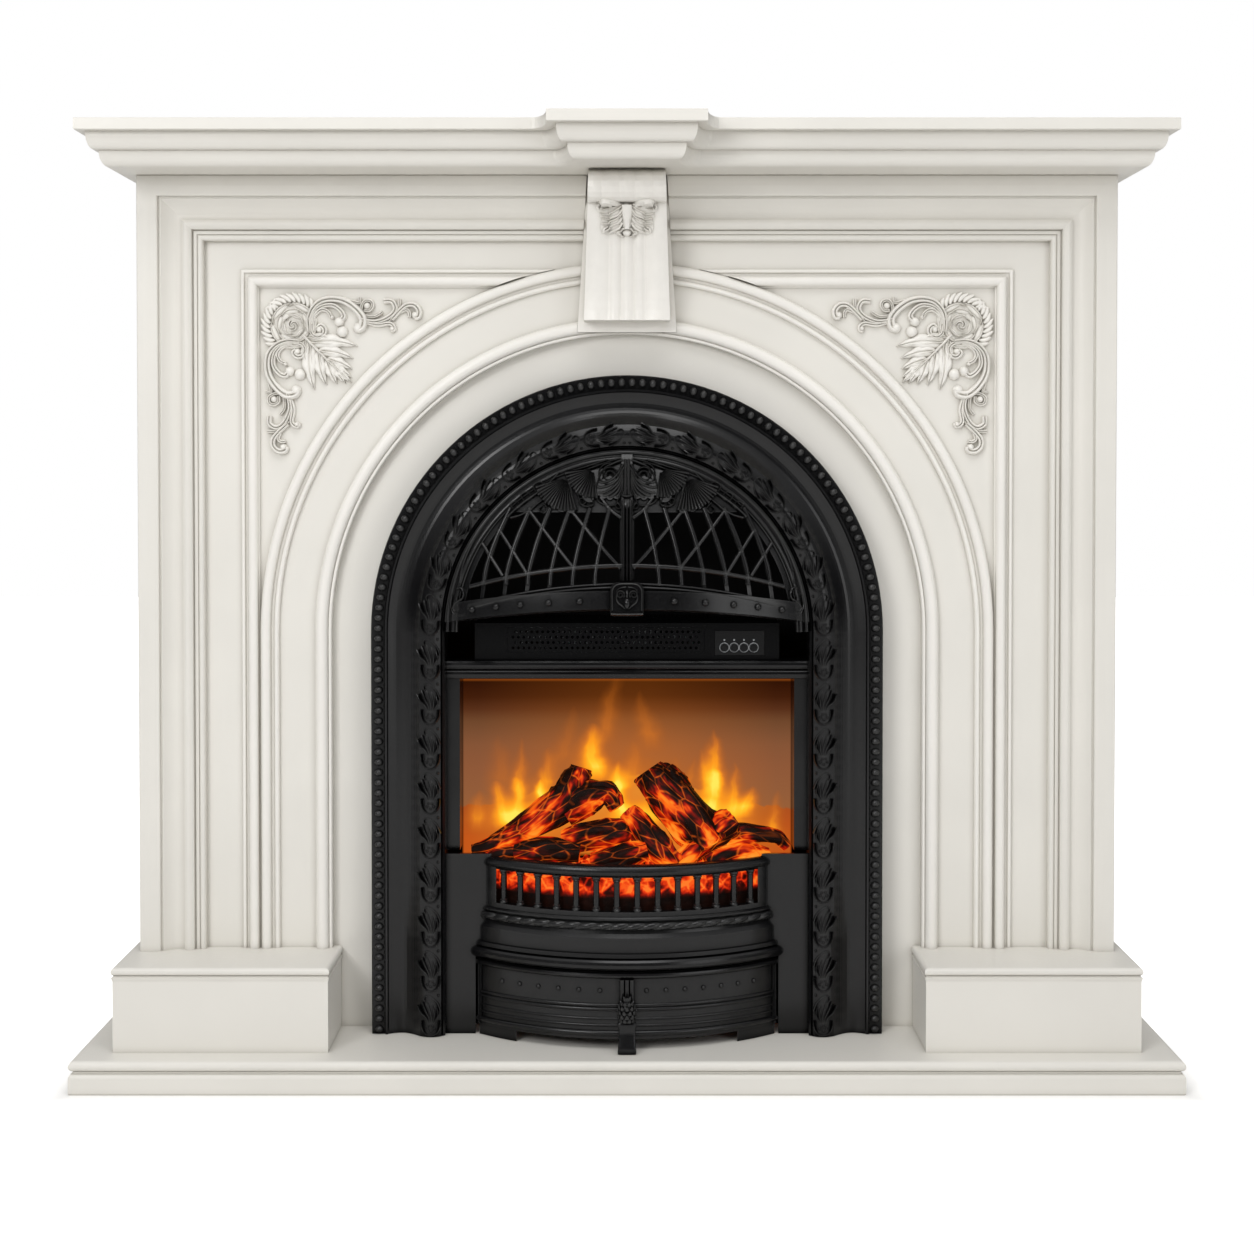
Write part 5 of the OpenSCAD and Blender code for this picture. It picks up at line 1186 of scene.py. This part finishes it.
def carve_rope(rope, low, high, reach):
    """Twisted rope: short strands that lie askew over each other, between two angles of the rail."""
    step = 2 * reach / ROPE_TURNS
    middle = (low + high) / 2
    for i in range(ROPE_TURNS):
        start = -reach + step * i
        rings = []
        for t in (j / 8 for j in range(9)):
            spot = start + step * (t * 1.24 - 0.12)
            swell = math.sin(math.pi * (0.08 + 0.84 * t)) ** 0.6
            height = middle + (t - 0.5) * 3.2
            tall = (high - low) / 2 * 0.86 * swell
            rings.append([
                (spot + 0.002 * y, height + tall * y, -1.5 + 5.2 * swell * max(-0.3, x))
                for x, y in oval(12, 1)])
        rope.rings(rings)


def bud_radius(radius, t):
    """Radius of the bud at a share of its height."""
    return radius * math.sin(math.pi * (0.1 + 0.9 * t) ** 0.8) ** 0.7


def carve_scale(knob, middle, angle):
    """One scale of the bud, which leans outwards as it rises."""
    out = Vector((math.cos(angle), math.sin(angle), 0.25)).normalized()
    side = Vector((-math.sin(angle), math.cos(angle), 0))
    up = out.cross(side)
    tall = 4.2 if up.z > 0 else -4.2
    rings = []
    for s in (j / 4 for j in range(5)):
        wide = 2.9 * math.sin(math.pi * (0.25 + 0.72 * s))
        spot = middle + up * tall * (s - 0.4) * 1.3 + out * (1.4 * s)
        rings.append([spot + side * x + out * y for x, y in oval(8, wide, 1.5)])
    knob.rings(rings)


def carve_bud(knob, y, foot):
    """Bud of overlapping scales, with none on its hidden back."""
    core = [(bud_radius(BUD_RADIUS, j / 12), j / 12) for j in range(12)] + [(1.5, 1.0)]
    knob.rings([[(a, y + b, foot + BUD_LENGTH * t) for a, b in oval(18, r * 0.86)] for r, t in core])
    for row in range(SCALE_ROWS):
        t = (row + 0.5) / SCALE_ROWS
        r = 0.9 * bud_radius(BUD_RADIUS - 0.3, t)
        for k in range(SCALES):
            a = math.tau * (k + 0.5 * (row % 2)) / SCALES
            if math.sin(a) <= 0.55:
                carve_scale(knob, Vector((r * math.cos(a), y + r * math.sin(a), foot + BUD_LENGTH * t)), a)


def toe_ring(y, z, wide, thick):
    """Flat oval ring of the tongue, squarer at its sides than an ellipse."""
    return [(
        wide * math.copysign(abs(a) ** 0.35, a), y + thick / 2 * math.copysign(abs(b) ** 0.5, b), z)
        for a, b in oval(20, 1)]


class FIREPLACE_OT_basket_detail(bpy.types.Operator):
    """Carve the rope, the bar collars and the knob of the basket and ash cover"""
    bl_idname = "fireplace.basket_detail"
    bl_label = "Basket Detail"

    def execute(self, context):
        material = bpy.data.materials["stove_black_on_cast_iron"]
        reach = math.asin(RAIL_HALF / RAIL_R)
        grate_low, grate_high = node_box("basket_grate")
        rope = Carving(on_bow(RAIL_R + ROPE_OUT))
        carve_rope(rope, grate_low.z + ROPE_LOW, grate_low.z + ROPE_HIGH, reach)
        rope.build("basket_rope", material, "cast_iron")

        # A collar at the foot and a cap at the head of each bar
        bar_r = RAIL_R - BARS_IN
        collars = Carving(in_space)
        spacing = 2 * (math.degrees(reach) - BARS_CLEAR) / (BARS - 1)
        for i in range(BARS):
            along, across = polar(bar_r, spacing * (i - (BARS - 1) / 2))
            x, y = across, BOW_Y - along
            for z, grow in ((grate_low.z + 6, 1), (grate_high.z - 15, -1)):
                collars.rings([[(x + a, y + b, z + grow * dz) for a, b in oval(16, r)] for dz, r in COLLAR])
        collars.build("bar_collars", material, "cast_iron")

        # Knob of the ash cover: a bud on a stem, with a flat tongue down to the hearth
        low, high = node_box("ash_cover_handle")
        face = node_box("ash_cover")[0].y
        bud_z = low.z + BUD_RISE
        knob = Carving(in_space)
        carve_bud(knob, face - BUD_OUT, bud_z + BUD_FOOT)
        # Three reeds run down the cover to the bud
        for x in (-6.2, 0, 6.2):
            knob.rings([
                [(x + a, face - 0.6 + b, z) for a, b in oval(10, 2.7, 2.4)]
                for z in (bud_z + 8, bud_z + 20, high.z - 8, high.z - 1)])
        # The tongue widens at its collar and ends in a rounded toe on the hearth
        tongue = [(bud_z, ring) for ring in TONGUE] + [(low.z, ring) for ring in TOE]
        knob.rings([toe_ring(face - out, base + z, wide, thick) for base, (z, out, wide, thick) in tongue])
        knob = knob.build("ash_cover_knob", material, "cast_iron", body="ash_cover", crease=35)
        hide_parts("ash_cover_handle")
        return {"FINISHED"}


# Ring round a button, which moves in it: out from the button's radius, and place behind the panel's face
BUTTON_RING = ((0.35, 0.3), (0.4, -0.7), (0.9, -1.0), (1.4, -0.6), (1.5, 0.3))
# Dust filter: its pleats, its place and the thickness of its cloth, in millimetres
PLEATS, PLEAT, PLEAT_DEPTH = 77, 3, 4
FILTER_IN, FILTER_DROP, FILTER_CLOTH = 1.0, 64, 0.8


class FIREPLACE_OT_insert(bpy.types.Operator):
    """Finish the sheet metal, motors and controls of the electric insert"""
    bl_idname = "fireplace.insert"
    bl_label = "Insert"

    def execute(self, context):
        sheets = ("firebox_case", "heater_housing", "outlet_grille", "rear_cover")
        finish_nodes(powder_coated_steel(), sheets)
        finish_nodes(gloss_black_enamel(), ("lintel_trim", "left_corner_post", "right_corner_post"))
        finish_nodes(zinc_plated_sheet(), ("fan_motor", "rotor_motor", "flame_rotor"))
        finish_nodes(mill_aluminium(), ("fan_wheel", "heating_element"))
        buttons = ("power_button", "flame_button", "low_heat_button", "high_heat_button")
        finish_nodes(moulded_abs(), ("control_panel", "mains_inlet") + buttons)
        rings = Carving(in_space)
        panel_y = node_box("control_panel")[0].y
        for name in buttons:
            low, high = node_box(name)
            middle, reach = (low + high) / 2, (high.x - low.x) / 2
            rings.rings([
                [(middle.x + a, panel_y + h, middle.z + b) for a, b in oval(28, reach + out)]
                for out, h in BUTTON_RING], closed=False)
        rings.build("button_rings", bpy.data.materials["mill_aluminium"], "aluminium")

        # Pleated dust filter behind the vents of the rear cover
        back = node_box("rear_cover")[0].y - FILTER_IN
        foot = node_box("heater_housing")[0].z - FILTER_DROP
        start = -PLEAT * (PLEATS - 1) / 2
        pleats = [(start + PLEAT * i, back - PLEAT_DEPTH * (i % 2)) for i in range(PLEATS)]
        outline = [(x, y + FILTER_CLOTH) for x, y in pleats] + pleats[::-1]
        gauze = Carving(in_space)
        gauze.rings([[(x, y, foot + rise) for x, y in outline] for rise in (0, 36, 75, 111)])
        gauze.build("dust_filter", bpy.data.materials["moulded_abs"], "black_plastic")
        finish_nodes(clear_polycarbonate(), ("indicator_lenses",))
        finish_nodes(lamp_board_lacquer(), ("light_strip",))
        return {"FINISHED"}


# Logs: place and radius in millimetres of the spots along each one, from its butt to its tip
LOGS = (
    ((-204, 1, 281, 7), (-176, -2, 288, 12), (-120, 4, 317, 20), (-82, 16, 345, 24), (-66, 26, 375, 18),
        (-62, 28, 386, 14)),
    ((-84, 12, 330, 20), (-52, 14, 348, 22), (-26, 14, 352, 17), (-12, 8, 336, 10)),
    ((112, -16, 286, 27), (92, -2, 312, 31), (56, 16, 350, 31), (34, 26, 374, 24), (28, 28, 382, 20)),
    ((72, 16, 346, 20), (58, 24, 368, 19), (49, 28, 384, 14)),
    ((140, 0, 320, 19), (128, -4, 312, 20), (100, -16, 292, 15), (64, -36, 270, 12)),
    ((130, -2, 300, 12), (160, 2, 303, 12), (196, 3, 298, 10), (212, 4, 284, 7)),
    ((-84, -6, 292, 15), (-40, -8, 302, 21), (-6, -8, 306, 19), (6, -8, 308, 12)),
    ((2, 0, 330, 14), (24, -16, 306, 19), (48, -34, 282, 18), (64, -44, 268, 12)),
    ((-146, -16, 278, 13), (-104, -22, 285, 17), (-62, -26, 281, 12)),
    ((-44, -34, 270, 13), (-4, -44, 281, 17), (26, -42, 288, 12)),
    ((104, -34, 268, 12), (148, -18, 280, 15), (184, 2, 274, 10)),
    ((-184, -2, 270, 12), (-150, -10, 276, 15), (-118, -14, 270, 10)))


def carve_log(carving, bark, spots, seed):
    """One branch with ridged bark and cut ends. Bark collects each point's place in the log's own space."""
    line = smooth_path([spot[:3] for spot in spots], 8)
    sizes = smooth_path([(spot[3], 0, 0) for spot in spots], 8)
    corners = oval(26, 1)
    rings = []
    along = 0
    for i, (spot, size) in enumerate(zip(line, sizes)):
        along += (spot - line[max(i - 1, 0)]).length
        ahead = (line[min(i + 1, len(line) - 1)] - line[max(i - 1, 0)]).normalized()
        side = ahead.cross(Vector((0, 1, 0))).normalized()
        up = side.cross(ahead)
        ring = []
        for a, b in corners:
            way = side * a + up * b
            lump = noise.noise(way * 1.3 + ahead * (i * 0.16) + Vector((seed, 0, 0)))
            ridge = abs(noise.noise(Vector((a * 3.2, b * 3.2, i * 0.13 + seed))))
            ring.append(spot + way * size.x * (0.92 + 0.22 * lump + 0.34 * (0.4 - ridge)))
            bark.append((size.x * a, size.x * b, 0.36 * along + 90 * seed))
        rings.append(ring)
    carving.rings(rings)


class FIREPLACE_OT_logs(bpy.types.Operator):
    """Carve the glowing logs"""
    bl_idname = "fireplace.logs"
    bl_label = "Logs"

    def execute(self, context):
        carving = Carving(in_space)
        bark = []
        for seed, spots in enumerate(LOGS):
            carve_log(carving, bark, spots, seed * 7.3)
        logs = carving.build("log_pile", glowing_log_resin(), "log_resin", crease=50)
        own_space = logs.data.attributes.new("bark", "FLOAT_VECTOR", "POINT")
        for entry, spot in zip(own_space.data, bark):
            entry.vector = Vector(spot) * MM
        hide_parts("log_set")
        return {"FINISHED"}


# The ember heap ends short of the side plates and inside the rail, in millimetres
HEAP_HALF = RAIL_HALF - 14
HEAP_IN = 17.5


class FIREPLACE_OT_embers(bpy.types.Operator):
    """Heap the glowing embers behind the basket"""
    bl_idname = "fireplace.embers"
    bl_label = "Embers"

    def execute(self, context):
        fire = context.scene.fireplace_fire
        low, high = node_box("ember_bed")
        back = node_box("flame_screen")[0].y - 1
        edge = RAIL_R - HEAP_IN

        def heap(a, b):
            x = (2 * a - 1) * HEAP_HALF
            front = BOW_Y - math.sqrt(edge ** 2 - x * x)
            y = back + (front - back) * min(1, b * 1.12)
            lump = noise.noise(Vector((x, y, 0)) / 17) * 5 + noise.noise(Vector((x, y, 9)) / 7) * 2.5
            drop = max(0, b * 1.12 - 1) / 0.12
            return x, y, (high.z + 2 + lump) * (1 - drop) + (low.z + 1) * drop

        bed = Carving(in_space)
        bed.patch(heap, 120, 42, base=low.z)
        bed = bed.build("ember_heap", glowing_ember_resin(), "ember_resin", crease=60)
        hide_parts("ember_bed")

        dice = random.Random(4)
        crust = bmesh.new()
        for i in range(fire.ember_count):
            x = dice.uniform(-HEAP_HALF, HEAP_HALF)
            front = BOW_Y - math.sqrt((edge - 6) ** 2 - x * x)
            y = front + (back - 8 - front) * dice.random() ** 1.4
            size = fire.ember_size / MM * dice.uniform(0.3, 0.62)
            place = Matrix.Translation((x * MM, y * MM, (high.z + 2 + size * 0.4) * MM))
            turn = Matrix.Rotation(dice.uniform(0, math.tau), 4, (dice.random(), dice.random(), 0.4))
            long, wide = dice.uniform(0.9, 1.5), dice.uniform(0.7, 1)
            matrix = place @ turn @ Matrix.Diagonal((size * MM * long, size * MM * wide, size * MM * 0.7, 1))
            made = bmesh.ops.create_icosphere(crust, subdivisions=2, radius=1, matrix=matrix)
            for vert in made["verts"]:
                away = vert.co - place.translation
                vert.co += away * (0.5 * noise.noise(away / MM / size * 1.4 + Vector((i * 3.1, 0, 0))))
        mesh = bpy.data.meshes.new("loose_embers")
        crust.to_mesh(mesh)
        crust.free()
        resin = bpy.data.materials["glowing_ember_resin"]
        finished_piece("loose_embers", mesh, resin, crease=35)
        finish_nodes(lit_flame_screen(), ("flame_screen",))
        return {"FINISHED"}


# Soft boxes, a key at the upper left, a fill at the right and one overhead: place, target, width and watts
LAMPS = (
    ("key_lamp", (-1.8, -3.2, 2.1), (0, 0, 0.6), 1.3, 50),
    ("fill_lamp", (2.6, -3.1, 1.2), (0, 0, 0.6), 1.8, 24),
    ("top_lamp", (0.1, -1.5, 3.0), (0, -0.1, 0.5), 1.5, 24))
FLOOR_HALF = 9.0
SENSOR_MM = 36


def pale_floor():
    """Matt paper that is lit to white away from the hearth, so that only the shadow beside it shows."""
    material, tree, shader, place = surface(
        "pale_floor", {"Roughness": 0.8, "Base Color": linear("#F4F3F1"), "Emission Color": (1, 1, 1, 1)})
    path = add_node(tree, "LightPath").outputs
    mirrors = number(tree, "MULTIPLY", path["Is Glossy Ray"], 0.3)
    seen = number(tree, "MAXIMUM", path["Is Camera Ray"], mirrors)
    seen = number(tree, "MAXIMUM", seen, path["Is Transmission Ray"])
    across, along, _ = axes(tree, place)
    aside = number(tree, "SUBTRACT", number(tree, "ABSOLUTE", across), CAD_BOX[1].x)
    ahead = number(tree, "SUBTRACT", HEARTH_FRONT * MM, along)
    away = number(tree, "MAXIMUM", number(tree, "MAXIMUM", aside, ahead), 0.0)
    behind = spread(tree, along, 0.0, 1.0, 0.0, 0.2)
    lift = number(tree, "MAXIMUM", spread(tree, away, 0.15, 1.0, 0.005, 0.09), behind)
    tree.links.new(number(tree, "MULTIPLY", seen, lift), shader.inputs["Emission Strength"])
    return material


def studio_room():
    """World that is white behind the object, with a weaker room round it that is brighter overhead."""
    world = bpy.data.worlds.new("studio")
    world.use_nodes = True
    tree = world.node_tree
    tree.nodes.clear()
    path = add_node(tree, "LightPath").outputs
    # The weaker room lets grooves and black iron keep their contrast
    seen = number(tree, "MAXIMUM", path["Is Camera Ray"], path["Is Transmission Ray"])
    height = axes(tree, add_node(tree, "TexCoord").outputs["Generated"])["Z"]
    room = spread(tree, height, 0.1, 0.64, 0.1, 0.95)
    sheen = number(tree, "SUBTRACT", spread(tree, height, 0.01, 1.0, 0.15, 0.8), room)
    strength = number(tree, "MULTIPLY_ADD", path["Is Glossy Ray"], sheen, room)
    strength = number(tree, "MAXIMUM", seen, strength)
    sky = add_node(tree, "Background", {"Color": (1, 1, 1, 1)}, {"Strength": strength})
    add_node(tree, "OutputWorld", links={"Surface": sky.outputs[0]})
    return world


class FIREPLACE_OT_stage(bpy.types.Operator):
    """Lay a pale floor, hang the lamps and set the camera"""
    bl_idname = "fireplace.stage"
    bl_label = "Stage"

    def execute(self, context):
        studio = context.scene.fireplace_studio
        mesh = bpy.data.meshes.new("studio_floor")
        corners = ((-1, -1), (1, -1), (1, 1), (-1, 1))
        mesh.from_pydata([(FLOOR_HALF * x, FLOOR_HALF * y, 0) for x, y in corners], [], [(0, 1, 2, 3)])
        mesh.materials.append(pale_floor())
        floor = add_object("studio_floor", mesh)
        context.scene.world = studio_room()

        for name, spot, target, width, watts in LAMPS:
            data = bpy.data.lights.new(name, "AREA")
            data.size = width
            data.energy = watts * studio.lamp_level
            lamp = add_object(name, data)
            lamp.location = spot
            lamp.rotation_euler = (Vector(target) - Vector(spot)).to_track_quat("-Z", "Y").to_euler()

        lens = bpy.data.cameras.new("camera")
        lens.sensor_width = SENSOR_MM
        lens.lens = studio.focal_length
        lens.shift_y = studio.frame_shift
        camera = add_object("camera", lens)
        camera.location = (0, HEARTH_FRONT * MM - studio.camera_distance, studio.camera_height)
        camera.rotation_euler = (math.pi / 2 - studio.camera_pitch, 0, 0)
        context.scene.camera = camera
        context.scene.view_settings.view_transform = "Standard"
        return {"FINISHED"}


OPERATORS = (
    FIREPLACE_OT_mantel, FIREPLACE_OT_ornament, FIREPLACE_OT_castings, FIREPLACE_OT_arch_ornament,
    FIREPLACE_OT_hood_detail, FIREPLACE_OT_basket_detail, FIREPLACE_OT_insert, FIREPLACE_OT_logs,
    FIREPLACE_OT_embers, FIREPLACE_OT_stage)


class FIREPLACE_PT_panel(bpy.types.Panel):
    """Sidebar panel that lists the fireplace's settings and pieces"""
    bl_idname = "FIREPLACE_PT_panel"
    bl_label = "Fireplace"
    bl_space_type = "VIEW_3D"
    bl_region_type = "UI"
    bl_category = "Fireplace"

    def draw(self, context):
        for group_name in GROUPS:
            group = getattr(context.scene, group_name)
            box = self.layout.box()
            for prop in type(group).__annotations__:
                box.prop(group, prop)
        for operator in OPERATORS:
            self.layout.operator(operator.bl_idname)


GROUPS = {
    "fireplace_paint": FireplacePaint, "fireplace_iron": FireplaceIron,
    "fireplace_fire": FireplaceFire, "fireplace_studio": FireplaceStudio}
CLASSES = tuple(GROUPS.values()) + OPERATORS + (FIREPLACE_PT_panel,)


def register():
    for cls in CLASSES:
        bpy.utils.register_class(cls)
    for group_name, group in GROUPS.items():
        setattr(bpy.types.Scene, group_name, bpy.props.PointerProperty(type=group))


def unregister():
    for group_name in GROUPS:
        delattr(bpy.types.Scene, group_name)
    for cls in reversed(CLASSES):
        bpy.utils.unregister_class(cls)


def main():
    register()
    for operator in OPERATORS:
        getattr(bpy.ops.fireplace, operator.bl_idname.split(".")[1])()


if __name__ == "__main__":
    main()
